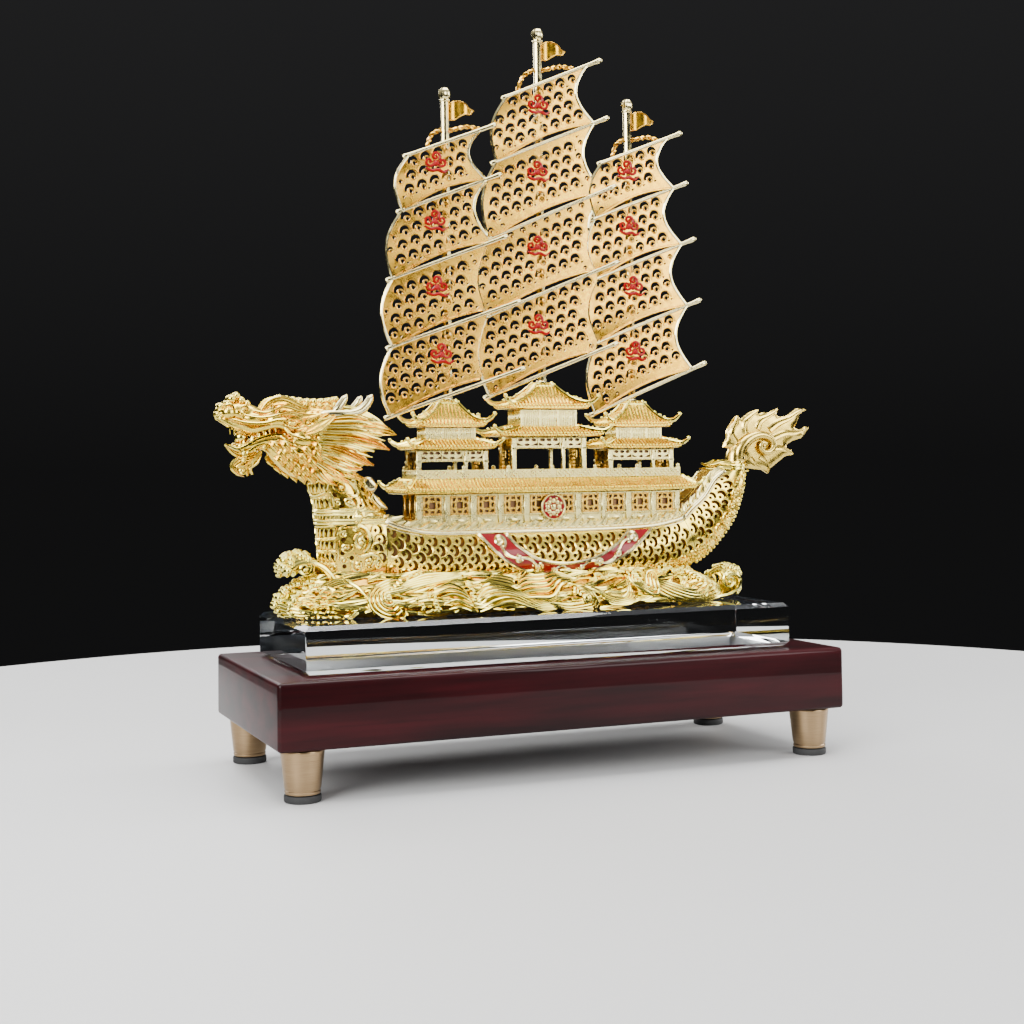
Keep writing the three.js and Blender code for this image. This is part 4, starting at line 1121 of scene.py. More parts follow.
def build_hull():
    skin, belt, stern_skin, stern_belt = (Shells() for _ in range(4))
    build_flank(skin, belt, 0.3, SPLIT)
    build_flank(stern_skin, stern_belt, SPLIT + 0.3, REACH[-1] - 0.2)
    for k, s in enumerate(np.arange(SPLIT + 1, REACH[-1] - 1, 1.5)):
        edge = flank(np.array([s]), depth_at(np.array([s])) - 0.2)[0]
        bead(stern_belt, edge * [1, 0, 1], 0.95 + 0.35 * (k % 2), (1, 1.5, 1))
        bead(stern_belt, edge + [0.1, -0.4, 0], 0.75)
    make_piece("hull_scales", skin.on_both_sides(), GOLD, ["hull"], sharp=30)
    make_piece("hull_scrolls", belt.on_both_sides(), GOLD, ["hull"])
    # The linings are painted shade: dark gold behind the pierced scales.
    make_piece("hull_lining", build_lining(0.3, SPLIT, True), SHADE_LINING, ["hull"])
    make_piece("stern_scales", stern_skin.on_both_sides(), GOLD, ["stern_post"], sharp=30)
    make_piece("stern_scrolls", stern_belt.on_both_sides(), GOLD, ["stern_post"])
    make_piece(
        "stern_lining", build_lining(SPLIT + 0.3, REACH[-1] - 0.2, False), SHADE_LINING, ["stern_post"],
    )
    band, moulding, stern_band, stern_moulding = (Shells() for _ in range(4))
    build_rim(band, moulding, 0.2, SPLIT)
    build_rim(stern_band, stern_moulding, SPLIT + 0.3, REACH[-1] - 1)
    make_piece("gunwale_crests", band.on_both_sides(), PALE_GOLD, ["gunwale"])
    make_piece("gunwale_moulding", moulding.on_both_sides(), SILVERED, ["gunwale"])
    make_piece("stern_rail_crests", stern_band.on_both_sides(), PALE_GOLD)
    make_piece("stern_rail_moulding", stern_moulding.on_both_sides(), SILVERED)
    boards = Shells()
    for k in range(13):
        y = -7.4 + k * 1.233
        block(boards, (-57.4, y - 0.55, 91.2), (57.4, y + 0.55, 92.2), 0.12)
    block(boards, (-57, -7.9, 91.2), (57, 7.9, 91.9), 0.1)
    make_piece("deck_boards", boards, PALE_GOLD, ["deck"])
    build_crescent()


# Roofs

OUTWARD = {"port": (0, -1), "stern": (1, 0), "starboard": (0, 1), "bow": (-1, 0)}
TILE = {"pitch": 1.45, "radius": 0.42}


def roof_point(roof, side, t, r):
    """On a hipped roof: t runs along the eave from -1 to 1, r from the eave to the top."""
    t, r = np.broadcast_arrays(np.asarray(t, float), np.asarray(r, float))
    (big_x, big_y), (small_x, small_y) = roof["eave"], roof["top"]
    half_x, half_y = big_x + (small_x - big_x) * r, big_y + (small_y - big_y) * r
    rise = roof["z1"] - roof["z0"] - roof["fascia"]
    z = roof["z0"] + roof["fascia"] + rise * r ** roof["curve"]
    z = z + roof["lift"] * np.abs(t) ** 8 * (1 - r) ** 2
    out_x, out_y = OUTWARD[side]
    if out_y:
        return np.stack([roof["x"] + t * half_x, out_y * half_y + 0 * t, z], -1)
    return np.stack([roof["x"] + out_x * half_x + 0 * t, t * half_y, z], -1)


def roof_ring(roof, r, drop=0.0, inset=0.0):
    ring = []
    for side, flip in (("port", 1), ("stern", 1), ("starboard", -1), ("bow", -1)):
        count = 40 if OUTWARD[side][1] else 16
        t = np.linspace(-1, 1, count, endpoint=False) * flip
        ring.append(roof_point(roof, side, t, np.full(count, r)))
    ring = np.vstack(ring) - [0, 0, drop]
    centre = np.array([roof["x"], 0, 0])
    shrink = np.array([1 - inset / roof["eave"][0], 1 - inset / roof["eave"][1], 1])
    return (ring - centre) * shrink + centre


def build_roof(name, roof, nodes, pedestal=False):
    body, tiles, tips = Shells(), Shells(), Shells()
    thick = roof["fascia"]
    rings = [
        roof_ring(roof, 0, thick, 1.6), roof_ring(roof, 0, thick, 0.25), roof_ring(roof, 0, thick - 0.25, 0),
    ]
    rings += [roof_ring(roof, 0, 0.25, 0), roof_ring(roof, 0, 0, 0.3)]
    rings += [roof_ring(roof, r, 0.1) for r in np.linspace(0.06, 1, 8)]
    loft(body, rings)
    for side, out in OUTWARD.items():
        axis = 0 if out[1] else 1
        half, small = roof["eave"][axis], roof["top"][axis]
        count = int(2 * half / TILE["pitch"])
        for k in range(count):
            across = -half + (k + 0.5) * 2 * half / count
            reach = min(1.0, (half - abs(across)) / max(half - small, 0.1))
            r = np.linspace(0, reach, 6)
            t = across / (half + (small - half) * r)
            path = roof_point(roof, side, np.clip(t, -1, 1), r) + [0, 0, 0.12]
            if reach > 0.1:
                bar(tiles, path, TILE["radius"], 6)
            bead(tiles, path[0] + [out[0] * 0.25, out[1] * 0.25, -0.05], 0.56, (1, 1, 1.1))
            bead(tiles, path[0] + [out[0] * 0.2, out[1] * 0.2, -0.75], 0.3)
    for side in ("port", "starboard"):
        for end in (-1, 1):
            r = np.linspace(1, 0, 9)
            hip = roof_point(roof, side, np.full(9, end), r) + [0, 0, 0.35]
            out = unit(hip[-1] * [1, 1, 0] - hip[0] * [1, 1, 0])
            reach = roof["tip"]
            tip = [hip[-1] + out * reach * a + [0, 0, roof["curl"] * a**1.6] for a in (0.3, 0.6, 0.85, 1.0)]
            radii = np.concatenate([np.linspace(0.75, 0.95, 9), [0.95, 0.85, 0.7, 0.6]])
            bar(tips, np.vstack([hip, tip]), radii, 9)
            bead(tips, tip[-1] + [0, 0, 0.25], 0.88)
            for a in (0.25, 0.42, 0.58):
                spot = roof_point(roof, side, np.array([end]), np.array([a]))[0]
                bead(tips, spot + [0, 0, 1.1], 0.55 + 0.15 * (a < 0.3), (1, 1, 1.35))
    if pedestal:
        top, x = roof["z1"], roof["x"]
        for half_x, half_y, low, high, bevel in (
            (3.4, 2.8, 2.2, 1.1, 0.25), (4.2, 3.4, 1.3, 0.55, 0.3), (3.0, 2.6, 0.7, 0, 0.3),
        ):
            block(tips, (x - half_x, -half_y, top - low), (x + half_x, half_y, top - high), bevel)
        for sx in (-1, 1):
            for sy in SIDES:
                bead(tips, (x + sx * 4.0, sy * 3.2, top - 0.3), 0.6)
    make_piece(f"{name}_body", body, GOLD, nodes)
    make_piece(f"{name}_tiles", tiles, ROOF_GOLD, nodes)
    make_piece(f"{name}_hips", tips, BRIGHT_GOLD, nodes)


# Cabin, pavilions and balustrade

CABIN = {"x": 4.1, "half_x": 57.7, "half_y": 8, "bottom": 92.5, "top": 105.6, "bay": 22.54, "sill": 97}
CABIN_ENDS = (CABIN["x"] - CABIN["half_x"], CABIN["x"] + CABIN["half_x"])
WINDOW = {"z": 101.3, "half_x": 3.5, "half_z": 3.6, "offset": 5.65}
BADGE = {"x": 4.1, "y": -8.8, "z": 99.9}
RAILING = {"bottom": 111.6, "top": 115.0, "y": 8.2, "pitch": 0.92}


def fret_holes(u, v):
    """The window fret: a square light ringed by corner and side openings."""
    holes = [rectangle(u, v, 1.25, 1.3)]
    for su in (-1, 1):
        for sv in (-1, 1):
            corner = np.array([(0, 0), (-1.45, 0), (-1.25, -0.7), (-0.7, -1.25), (0, -1.45)])
            holes.append(corner * [su, sv] + [u + su * 2.95, v + sv * 2.95])
    for k in range(4):
        turn = k * math.pi / 2
        du, dv = 2.5 * math.cos(turn), 2.5 * math.sin(turn)
        holes.append(rectangle(u + du, v + dv, 0.5 if k % 2 == 0 else 0.85, 0.85 if k % 2 == 0 else 0.5))
    return holes


def build_cabin():
    walls, frets, lining = Shells(), Shells(), Shells()
    x0, x1 = CABIN_ENDS
    z0, z1 = CABIN["bottom"], CABIN["top"]
    face = -CABIN["half_y"]

    def wall(x, z, w):
        return np.stack([x, face + 0.55 - w, z], -1)

    half_x, half_z = WINDOW["half_x"], WINDOW["half_z"]
    spots = [
        CABIN["x"] + CABIN["bay"] * (bay - 2) + side * WINDOW["offset"] for bay in range(5) for side in (-1, 1)
    ]
    lights = [rectangle(x, WINDOW["z"], half_x, half_z) for x in spots]
    plate(
        walls, rectangle((x0 + x1) / 2, (z0 + z1) / 2, CABIN["half_x"], (z1 - z0) / 2), lights, wall, -0.4, 0,
        3,
    )
    for x in spots:
        plate(frets, rectangle(x, WINDOW["z"], 3.45, 3.55), fret_holes(x, WINDOW["z"]), wall, -0.5, 0.15, 1.6)
        for sx, sz, hx, hz in ((-1, 0, 0.3, 3.8), (1, 0, 0.3, 3.8), (0, -1, 3.8, 0.3), (0, 1, 3.8, 0.3)):
            cx, cz = x + sx * half_x, WINDOW["z"] + sz * half_z
            block(frets, (cx - hx, face + 0.1, cz - hz), (cx + hx, face + 0.8, cz + hz), 0.12)
        block(walls, (x - 3.6, face + 0.25, 93.6), (x + 3.6, face + 0.7, 96.6), 0.15)
        bead(walls, (x, face + 0.3, 95.1), 1.3, (1.6, 0.18, 0.7))
    for k in range(11):
        x = CABIN["x"] + CABIN["bay"] / 2 * (k - 5)
        wide = 1.15 if k % 2 == 0 else 0.8
        wide = min(wide, max(0.3, min(x - x0, x1 - x) + 0.05)) if k in (0, 10) else wide
        x = min(max(x, x0 + wide), x1 - wide)
        block(walls, (x - wide, face, z0), (x + wide, face + 0.8, z1), 0.2)
        if k % 2 == 0:
            block(walls, (x - 0.2, face - 0.02, z0 + 1), (x + 0.2, face + 0.5, z1 - 1), 0.08)
    sill = CABIN["sill"]
    for low, high, bevel in ((z0, z0 + 0.9, 0.15), (sill, sill + 0.5, 0.12), (z1 - 0.7, z1, 0.12)):
        block(walls, (x0, face + 0.05, low), (x1, face + 0.8, high), bevel)
    for flank_name, flip in FLANKS:
        stands_for = [f"cabin_wall_{flank_name}"]
        make_piece(f"cabin_panels_{flank_name}", walls.flipped(flip), PALE_GOLD, stands_for)
        make_piece(f"cabin_frets_{flank_name}", frets.flipped(flip), FRET_GOLD, stands_for)
    for end, x, sign in (("bow", x0, -1), ("stern", x1, 1)):
        lattice = Shells()

        def end_wall(y, z, w, x=x, sign=sign):
            return np.stack([x + sign * (w - 0.35), y, z], -1)

        holes = [
            rectangle(y, z, 0.5, 0.5)
            for y in np.arange(-5, 5.1, 1.66) for z in np.arange(z0 + 2, z1 - 1.5, 1.66)
        ]
        plate(lattice, rectangle(0, (z0 + z1) / 2, 6.7, (z1 - z0) / 2), holes, end_wall, -0.4, 0, 1.6)
        for y in (-6.2, 0, 6.2):
            block(lattice, (x - sign * 0.7, y - 0.5, z0), (x, y + 0.5, z1), 0.15)
        make_piece(f"cabin_lattice_{end}", lattice, FRET_GOLD, [f"cabin_wall_{end}"])
    # Painted shade: a dark block inside the cabin, seen through the window frets.
    block(lining, (x0 + 1.2, -6.6, z0), (x1 - 1.2, 6.6, z1), 0.2)
    make_piece("cabin_inside", lining, SHADE_LINING)
    build_roof("cabin_roof", {
        "x": CABIN["x"], "z0": 105.9, "z1": 111.3, "eave": (62.6, 13.4), "top": (58.4, 8.7), "fascia": 1.5,
        "curve": 1.15, "lift": 0.5, "tip": 3.2, "curl": 2.0,
    }, ["cabin_roof"])
    build_badge()


def build_badge():
    disc, ring = Shells(), Shells()
    centre = np.array([BADGE["x"], BADGE["y"], BADGE["z"]])
    loft(disc, upright_rings(*centre, ((4.8, 0.5), (4.8, -0.15), (0.2, -0.25)), 40))
    rim = ((4.6, 0.5), (4.55, -0.2), (4.8, -0.5), (5.15, -0.5), (5.4, -0.2), (5.4, 0.5))
    hoop(ring, upright_rings(*centre, rim, 40))
    for k in range(8):
        for reach, size, ahead in ((2.5, 0.95, 0), (3.6, 0.5, 0.5)):
            spin = (k + ahead) * math.pi / 4
            bead(ring, centre + [reach * math.cos(spin), -0.2, reach * math.sin(spin)], size, (1, 0.32, 1))
    bead(ring, centre + [0, -0.22, 0], 1.25, (1, 0.3, 1))
    for flank_name, flip in FLANKS:
        stands_for = [f"medallion_{flank_name}"]
        make_piece(f"badge_enamel_{flank_name}", disc.flipped(flip), RED_ENAMEL, stands_for)
        make_piece(f"badge_rosette_{flank_name}", ring.flipped(flip), PALE_GOLD)


def build_balustrade():
    rail = Shells()
    x0, x1 = CABIN_ENDS
    z0, z1 = RAILING["bottom"], RAILING["top"]
    for sy in SIDES:
        y = sy * RAILING["y"]
        for half, low, high, bevel in (
            (0.3, z0, z1, 0.1), (0.4, z1 - 0.55, z1, 0.15), (0.4, z0, z0 + 0.5, 0.15),
        ):
            block(rail, (x0, y - half, low), (x1, y + half, high), bevel)
        for k in range(int((x1 - x0) / RAILING["pitch"])):
            x = x0 + 0.5 + k * RAILING["pitch"]
            for row in range(3):
                lean = 0.34 if (row + k) % 2 else -0.34
                z = z0 + 1.0 + row * 0.78
                bar(rail, [(x - lean, y + sy * 0.32, z - 0.36), (x + lean, y + sy * 0.32, z + 0.36)], 0.2, 5)
        for k in range(7):
            x = x0 + 1 + k * (x1 - x0 - 2) / 6
            block(rail, (x - 0.95, y - 0.42, z0), (x + 0.95, y + 0.42, z1 + 0.35), 0.2)
            bead(rail, (x, y, z1 + 0.9), 0.85, (1, 0.5, 1))
    for x in (x0 + 0.3, x1 - 0.3):
        block(rail, (x - 0.3, -RAILING["y"], z0), (x + 0.3, RAILING["y"], z1), 0.1)
        for y in np.arange(-7, 7.1, 1.4):
            block(rail, (x - 0.42, y - 0.2, z0), (x + 0.42, y + 0.2, z1 + 0.1), 0.08)
    make_piece("balustrade_rails", rail, PALE_GOLD, ["balustrade"])


SMALL_PAVILION = {
    "lower": (15, 7), "lower_top": 122.8, "skirt": (17.2, 9.4), "upper": (10.6, 5), "upper_top": 131.6,
    "roof": (14.0, 7.6), "peak": 142.2,
}
PAVILIONS = [
    {"name": "fore", "x": -37.8, **SMALL_PAVILION},
    {
        "name": "middle", "x": 3.5, "lower": (16.4, 7), "lower_top": 127.8, "skirt": (22.4, 10.4),
        "upper": (12.4, 6.6), "upper_top": 138.8, "roof": (17.2, 9.2), "peak": 149.4,
    },
    {"name": "aft", "x": 44.6, **SMALL_PAVILION},
]


def frieze_holes(u, v, width, height):
    """Two rows of small openings in one bay."""
    holes = []
    for part, wide in ((-0.3, 0.13), (0, 0.12), (0.3, 0.12)):
        holes.append(
            circle(0, 0, 1, 8) * [wide * width, height * 0.16] + [u + part * width, v + height * 0.24]
        )
    foot = np.array([(-1, -0.8), (1, -0.8), (-1, 1)]) * [0.15 * width, height * 0.17]
    holes.append(foot + [u - 0.32 * width, v - height * 0.2])
    holes.append((foot * [-1, 1]) + [u + 0.32 * width, v - height * 0.2])
    holes.append(circle(0, 0, 1, 8) * [0.12 * width, height * 0.14] + [u, v - height * 0.24])
    return holes


def build_pavilion(spec):
    name, x, foot = spec["name"], spec["x"], RAILING["bottom"]
    half_x, half_y = spec["lower"]
    top = spec["lower_top"]
    frame_parts, lattice, dark = Shells(), Shells(), Shells()
    bay = (2 * half_x - 4.2) / 3
    for sy in SIDES:
        for dx, wide, depth in (
            (-half_x + 1.1, 1.05, 1.0), (-half_x + 2.2 + (2 * half_x - 4.4) * 0.72, 0.75, 0.8),
            (half_x - 1.1, 1.05, 1.0),
        ):
            for low, high, more, bevel in ((foot, top, 0, 0.25), (top - 4.9, top - 4.2, 0.3, 0.2)):
                y = sy * (half_y - depth)
                ends = (x + dx - wide - more, y - depth, low), (x + dx + wide + more, y + depth, high)
                block(frame_parts, *ends, bevel)

        def frieze(u, v, w, sy=sy):
            return np.stack([u, sy * (half_y - 0.5 + w), v], -1)

        holes = [hole for k in (-1, 0, 1) for hole in frieze_holes(x + k * bay, top - 2.1, bay, 3.9)]
        plate(frame_parts, rectangle(x, top - 2.1, half_x - 0.4, 2.05), holes, frieze, -0.35, 0.1, 1.6)
        for k in (-0.5, 0.5):
            middle = x + k * bay
            block(
                frame_parts, (middle - 0.22, sy * (half_y - 0.9), top - 4.1),
                (middle + 0.22, sy * half_y, top), 0.08,
            )
        for drop, high in ((4.5, top - 4.0), (0.6, top)):
            block(
                frame_parts, (x - half_x, sy * (half_y - 1), top - drop), (x + half_x, sy * half_y, high),
                0.15,
            )
        # Painted shade: a dark block behind the frieze, standing for the shaded opening under it.
        inner = x - half_x + 1, x + half_x - 1
        block(dark, (inner[0], sy * (half_y - 1.9), top - 4), (inner[1], sy * (half_y - 1.3), top - 0.2), 0.1)
    for sx in (-1, 1):
        def end_wall(u, v, w, sx=sx):
            return np.stack([x + sx * (half_x - 0.6 + w), u, v], -1)

        holes = [rectangle(0, (foot + top) / 2 + 1.4, 1.3, 1.5)]
        holes += [
            rectangle(u, v, 0.45, 0.45)
            for u in (-4.2, -2.8, 2.8, 4.2) for v in np.arange(foot + 1.8, top - 1.4, 1.5)
        ]
        plate(
            lattice, rectangle(0, (foot + top) / 2, half_y - 0.4, (top - foot) / 2), holes, end_wall, -0.35,
            0.1, 1.6,
        )
        for u in (-half_y + 0.7, half_y - 0.7):
            block(lattice, (x + sx * (half_x - 1.1), u - 0.5, foot), (x + sx * half_x, u + 0.5, top), 0.15)
    block(frame_parts, (x - half_x, -half_y, top - 0.5), (x + half_x, half_y, top), 0.12)
    make_piece(f"{name}_hall_frame", frame_parts, PALE_GOLD, [f"{name}_pavilion_columns"])
    make_piece(f"{name}_hall_lattice", lattice, FRET_GOLD, [f"{name}_pavilion_columns"])
    # The hall's inside block is painted shade.
    make_piece(f"{name}_hall_inside", dark, SHADE_LINING)
    skirt_top = top + GAP + 3.9
    upper_x, upper_y = spec["upper"]
    wall = Shells()
    z0, z1 = skirt_top - 0.4, spec["upper_top"]
    block(wall, (x - upper_x + 0.3, -upper_y + 0.3, z0), (x + upper_x - 0.3, upper_y - 0.3, z1), 0.15)
    slats = np.arange(-upper_x + 1.3, upper_x - 1.2, 0.78)
    posts = np.linspace(-upper_x + 0.6, upper_x - 0.6, 4)
    for sy in SIDES:
        for k in slats:
            block(wall, (x + k - 0.2, sy * (upper_y - 0.4), z0), (x + k + 0.2, sy * upper_y, z1), 0.08)
        for k in posts:
            block(
                wall, (x + k - 0.55, sy * (upper_y - 0.5), z0), (x + k + 0.55, sy * (upper_y + 0.1), z1),
                0.12,
            )
    for sx in (-1, 1):
        for y in np.arange(-upper_y + 1.2, upper_y - 1.1, 0.95):
            block(wall, (x + sx * (upper_x - 0.4), y - 0.25, z0), (x + sx * upper_x, y + 0.25, z1), 0.08)
    for z in (z0 + 0.35, z1 - 0.4):
        block(wall, (x - upper_x, -upper_y, z - 0.35), (x + upper_x, upper_y, z + 0.35), 0.12)
    make_piece(f"{name}_upper_slats", wall, PALE_GOLD, [f"{name}_pavilion_upper_wall"])
    build_roof(f"{name}_skirt_roof", {
        "x": x, "z0": top + GAP, "z1": skirt_top, "eave": spec["skirt"],
        "top": (upper_x + 0.2, upper_y + 0.2),
        "fascia": 1.1, "curve": 1.2, "lift": 0.6, "tip": 3.1, "curl": 1.7,
    }, [f"{name}_pavilion_skirt_roof"])
    build_roof(f"{name}_top_roof", {
        "x": x, "z0": spec["upper_top"] + GAP, "z1": spec["peak"], "eave": spec["roof"], "top": (3.0, 2.6),
        "fascia": 1.3, "curve": 1.75, "lift": 0.9, "tip": 3.4, "curl": 2.4,
    }, [f"{name}_pavilion_top_roof"], pedestal=True)


# Dragon: neck

# Up the neck: z, middle x, half size along the boat and across it.
NECK = spline([
    (76, -78, 10.6, 8), (84, -78, 12, 9.2), (94, -77.8, 13, 9.6), (100, -78.4, 13, 9.4),
    (104, -80.2, 11.8, 9), (109, -82.4, 11.2, 8.6), (112.7, -83, 10.8, 8.4),
], 60)
NECK_ROUND = 10.6
COLLAR_Z = (95.2, 100.2)
HULL_END_X = -65.6
HULL_RIM_Z = 95.5
# The after part of the neck goes over into the hull's bow across this height, up from the lower z.
JOINED_Z = (97.5, 101.5)


def on_neck(u, z, w):
    """The neck's port side: u runs round it from the bow in mm, then z, and w out from the skin.

    Under the collar its after half runs on straight into the hull's bow.
    """
    u, z, w = (np.asarray(a, float) for a in np.broadcast_arrays(u, z, w))
    x, long, wide = (np.interp(z, NECK[:, 0], NECK[:, k]) for k in (1, 2, 3))
    angle = u / NECK_ROUND
    free = np.stack([x - (long + w) * np.cos(angle), -(wide + w) * np.sin(angle), z], -1)
    aft = np.clip(np.abs(angle) / (math.pi / 2) - 1, 0, 1)
    bow = -flank(np.full(z.shape, 0.3), np.clip(HULL_RIM_Z - z, 0, 22))[..., 1]
    joined = np.stack([
        x + aft * (HULL_END_X - x), -np.sign(angle) * (wide + (bow - wide) * aft**1.5 + w), z,
    ], -1)
    share = (np.clip((JOINED_Z[1] - z) / (JOINED_Z[1] - JOINED_Z[0]), 0, 1) * (aft > 0))[..., None]
    return free * (1 - share) + joined * share


def neck_u(x, z):
    """Where on the joined part of the neck x lies."""
    middle = np.interp(z, NECK[:, 0], NECK[:, 1])
    return NECK_ROUND * math.pi / 2 * (1 + (x - middle) / (HULL_END_X - middle))


def slits(z, tilt):
    """A comb of four slanted slits, as (u, z) loops."""
    lean = -0.35
    spin = np.array([[math.cos(lean), -math.sin(lean)], [math.sin(lean), math.cos(lean)]])
    return [(circle(0, 0, 1) * [0.6, 1.5]) @ spin + [2.2 + 2.1 * k, z + tilt * 0.3 * k] for k in range(4)]


def build_neck():
    skin, carving, fin = Shells(), Shells(), Shells()
    end = math.pi * NECK_ROUND - 0.15
    bands = [(108.6, 0.9), (102.9, 0.6), (91.9, 0.3), (87.3, 0.1), (82.8, -0.2)]
    holes = [slit for z, tilt in bands for slit in slits(z, tilt)]
    for z, u in (
        (111, 22.6), (108, 24.6), (105.2, 23.4), (102.4, 24.6), (109.6, 28.4), (106.4, 28.2), (103.4, 28.6),
    ):
        holes.append(circle(u, z, 1.0, 10))
    for u, z in (
        (12.4, 111.2), (20, 106.2), (12.2, 106.2), (13, 101.6), (19.6, 101.8), (12.6, 93.2), (16.6, 92.8),
        (12.4, 89.4),
        (16.2, 88.2), (21.6, 84.4), (15.2, 82.4), (12, 84.2), (19.2, 80.4), (24.6, 82), (12.6, 79.2),
        (28.4, 80.6),
    ):
        holes.append(circle(u, z, 0.85, 9))
    for j in range(5):
        for i in (-1, -2, -3):
            x = -65.7 + SCALE["pitch"] * (i + 0.5 * (j % 2)) + (1.5, 0.2)[j % 2]
            z = HULL_RIM_Z - SCALE["first"] - SCALE["row"] * j
            u = float(neck_u(x, z))
            if u > 22 + 0.7 * max(0, j - 2) and z > 81:
                holes += scale_hole(u, z, 1.37)
                arc = np.radians(np.linspace(-5, 195, 7))
                ring = zip(u + 3.3 * np.cos(arc), z + 2.2 * np.sin(arc), np.full(7, 0.3))
                flat_bar(carving, on_neck, list(ring), count=10, lift=0.2, sides=5)
    for low, high in ((76.2, COLLAR_Z[0]), (COLLAR_Z[1], 112.6)):
        part = [hole for hole in holes if low + 0.4 < hole[:, 1].min() and hole[:, 1].max() < high - 0.3]
        plate(
            skin, np.array([(0.05, low), (end, low), (end, high), (0.05, high)]), part, on_neck, -0.8, 0, 1.2,
        )
    for z, tilt in bands:
        for drop, radius in ((2.55, 0.6), (-2.2, 0.35)):
            rows = [
                (0.05, z - drop, radius), (5, z - drop + 0.1, radius),
                (9.6, z - drop + tilt * 1.6, radius * 0.8),
            ]
            flat_bar(carving, on_neck, rows, count=12, lift=0.2)
        for k in range(5):
            u, low, middle, high = 1.15 + 2.1 * k, *(z + step + tilt * 0.3 * k for step in (-1.7, 0, 1.8))
            flat_bar(carving, on_neck, [
                (u - 0.3, low, 0.3), (u - 0.1, middle, 0.5), (u + 0.6, high, 0.3),
            ], count=7, lift=0.3)
    for u, z, radius, turn, start, width in (
        (15.8, 109.6, 2.9, 1.3, 2.6, 0.7), (16.4, 103.6, 2.4, -1.5, 0.6, 0.55),
        (12.4, 103.4, 1.4, 1.2, 1.0, 0.4),
        (20.6, 110.4, 1.5, -1.3, 2.0, 0.45), (19, 88.4, 3.3, 1.4, 1.8, 0.75),
        (13.4, 86.4, 2.1, -1.5, 0.4, 0.5),
        (17.8, 79.4, 2.9, 1.4, 2.6, 0.6), (12.6, 91.4, 1.4, 1.4, 1.2, 0.4),
        (12.4, 81.6, 1.7, -1.3, 0.8, 0.45),
        (23.6, 80.6, 2.5, -1.4, 0.3, 0.55), (28.8, 79.6, 2.3, 1.4, 1.4, 0.5),
        (16.4, 93.2, 1.3, 1.2, 0.5, 0.42),
        (26.4, 104.2, 1.6, 1.3, 0.2, 0.4), (26.4, 109.2, 1.5, -1.3, 1.2, 0.4), (3, 79.4, 1.6, 1.3, 1.2, 0.45),
        (7.6, 78.6, 1.7, -1.3, 0.4, 0.45),
    ):
        flat_scroll(carving, on_neck, u, z, radius, turn, start, width, lift=0.45)
    for rows in (
        [
            (10.4, 108.4, 0.3), (12.4, 112, 0.7), (17, 112.4, 0.8), (20.4, 109.6, 0.85), (20, 105.8, 0.75),
            (16.8, 106.2, 0.35),
        ],
        [(12.2, 100.9, 0.3), (15.4, 100.8, 0.6), (19.6, 101.2, 0.6), (21, 104.4, 0.3)],
        [
            (10.6, 91.4, 0.3), (12.6, 94.2, 0.7), (17.8, 94.6, 0.8), (22.4, 92.4, 0.85), (23.4, 87.6, 0.8),
            (20.8, 84.4, 0.35),
        ],
        [(16.2, 84, 0.3), (19, 82.8, 0.7), (24, 83.6, 0.7), (28, 82.6, 0.7), (31, 80, 0.3)],
        [(10.6, 81.6, 0.3), (10.8, 85, 0.5), (11, 88.6, 0.3)],
        [(10.6, 102, 0.3), (11.2, 105, 0.5), (11.2, 107.2, 0.3)],
        [(21.6, 101.4, 0.3), (22, 105, 0.45), (21.6, 108.4, 0.3)],
    ):
        flat_bar(carving, on_neck, rows, count=16, lift=0.5)
    angles = np.linspace(0, end, 34)
    for z, w, radius in ((95.4, 0.35, 0.66), (96.6, 0.5, 0.5), (99.9, 0.35, 0.66), (98.8, 0.5, 0.5)):
        bar(carving, on_neck(angles, z, w), radius, 7)
    plate(carving, rectangle(end / 2, sum(COLLAR_Z) / 2, end / 2, 2.4), [], on_neck, -0.8, 0.35, 1.6)
    for k in range(11):
        u = 0.8 + 1.48 * k
        flat_bar(carving, on_neck, [(u, 97, 0.28), (u + 0.4, 98.6, 0.36)], count=4, lift=0.5, sides=5)
    for rows in (
        [(17.4, 101.2, 0.5), (17.6, 97.7, 1.9), (17.4, 94.4, 0.5)],
        [(20.6, 97.4, 0.5), (24.5, 97.8, 1.5), (29, 97.6, 0.6)],
        [(19.2, 100.8, 0.3), (20.2, 98.4, 0.8), (19.4, 95.4, 0.3)],
    ):
        flat_bar(carving, on_neck, rows, count=12, lift=0.2, sides=9)
    make_piece("neck_plate", skin.on_both_sides(), GOLD, ["dragon_neck"], sharp=30)
    make_piece("neck_carving", carving.on_both_sides(), MANE_GOLD, ["dragon_neck"])
    # Painted shade: a dark inner skin seen through the neck's piercings.
    lining = Shells()
    round_u = np.linspace(0.05, end, 22)
    loft(lining, [
        np.vstack([port, (port * [1, -1, 1])[::-1]])
        for port in (on_neck(round_u, z, -1.1) for z in np.linspace(76.3, 112.4, 14))
    ])
    make_piece("neck_lining", lining, SHADE_LINING, ["dragon_neck"])
    for leaf in (
        [
            (-71.2, 112.9), (-68.8, 112.6), (-66.6, 110), (-67, 108), (-68.6, 106.6), (-71.4, 107.4),
            (-73, 110.4),
        ],
        [
            (-68.8, 107.4), (-65.9, 104.6), (-63.4, 102), (-62.3, 100.5), (-63.6, 99.8), (-67.4, 100.1),
            (-69.8, 103.4),
        ],
    ):
        edge = spline(leaf + leaf[:1], 30)[:-1]
        plate(fin, edge, [], pillow(edge, 0.3, 1.2, 1.8), -1, 1, 0.7)
    make_piece("neck_fin", fin, SILVERED, ["dragon_neck"])


# Dragon: head

def laid_strand(target, place, rows, ridges=2, relief=0.3, count=16, span=9, back=0.35, lift=0.0):
    """A ridged leaf laid on a skin through rows of u, v, half width and height."""
    rows = spline(rows, count)
    path = laid(place, rows, lift)
    normal = unit(laid(place, rows, lift + 0.5) - path)
    strand(target, np.column_stack([path, rows[:, 2:4]]), normal, ridges, relief, count, span, back)


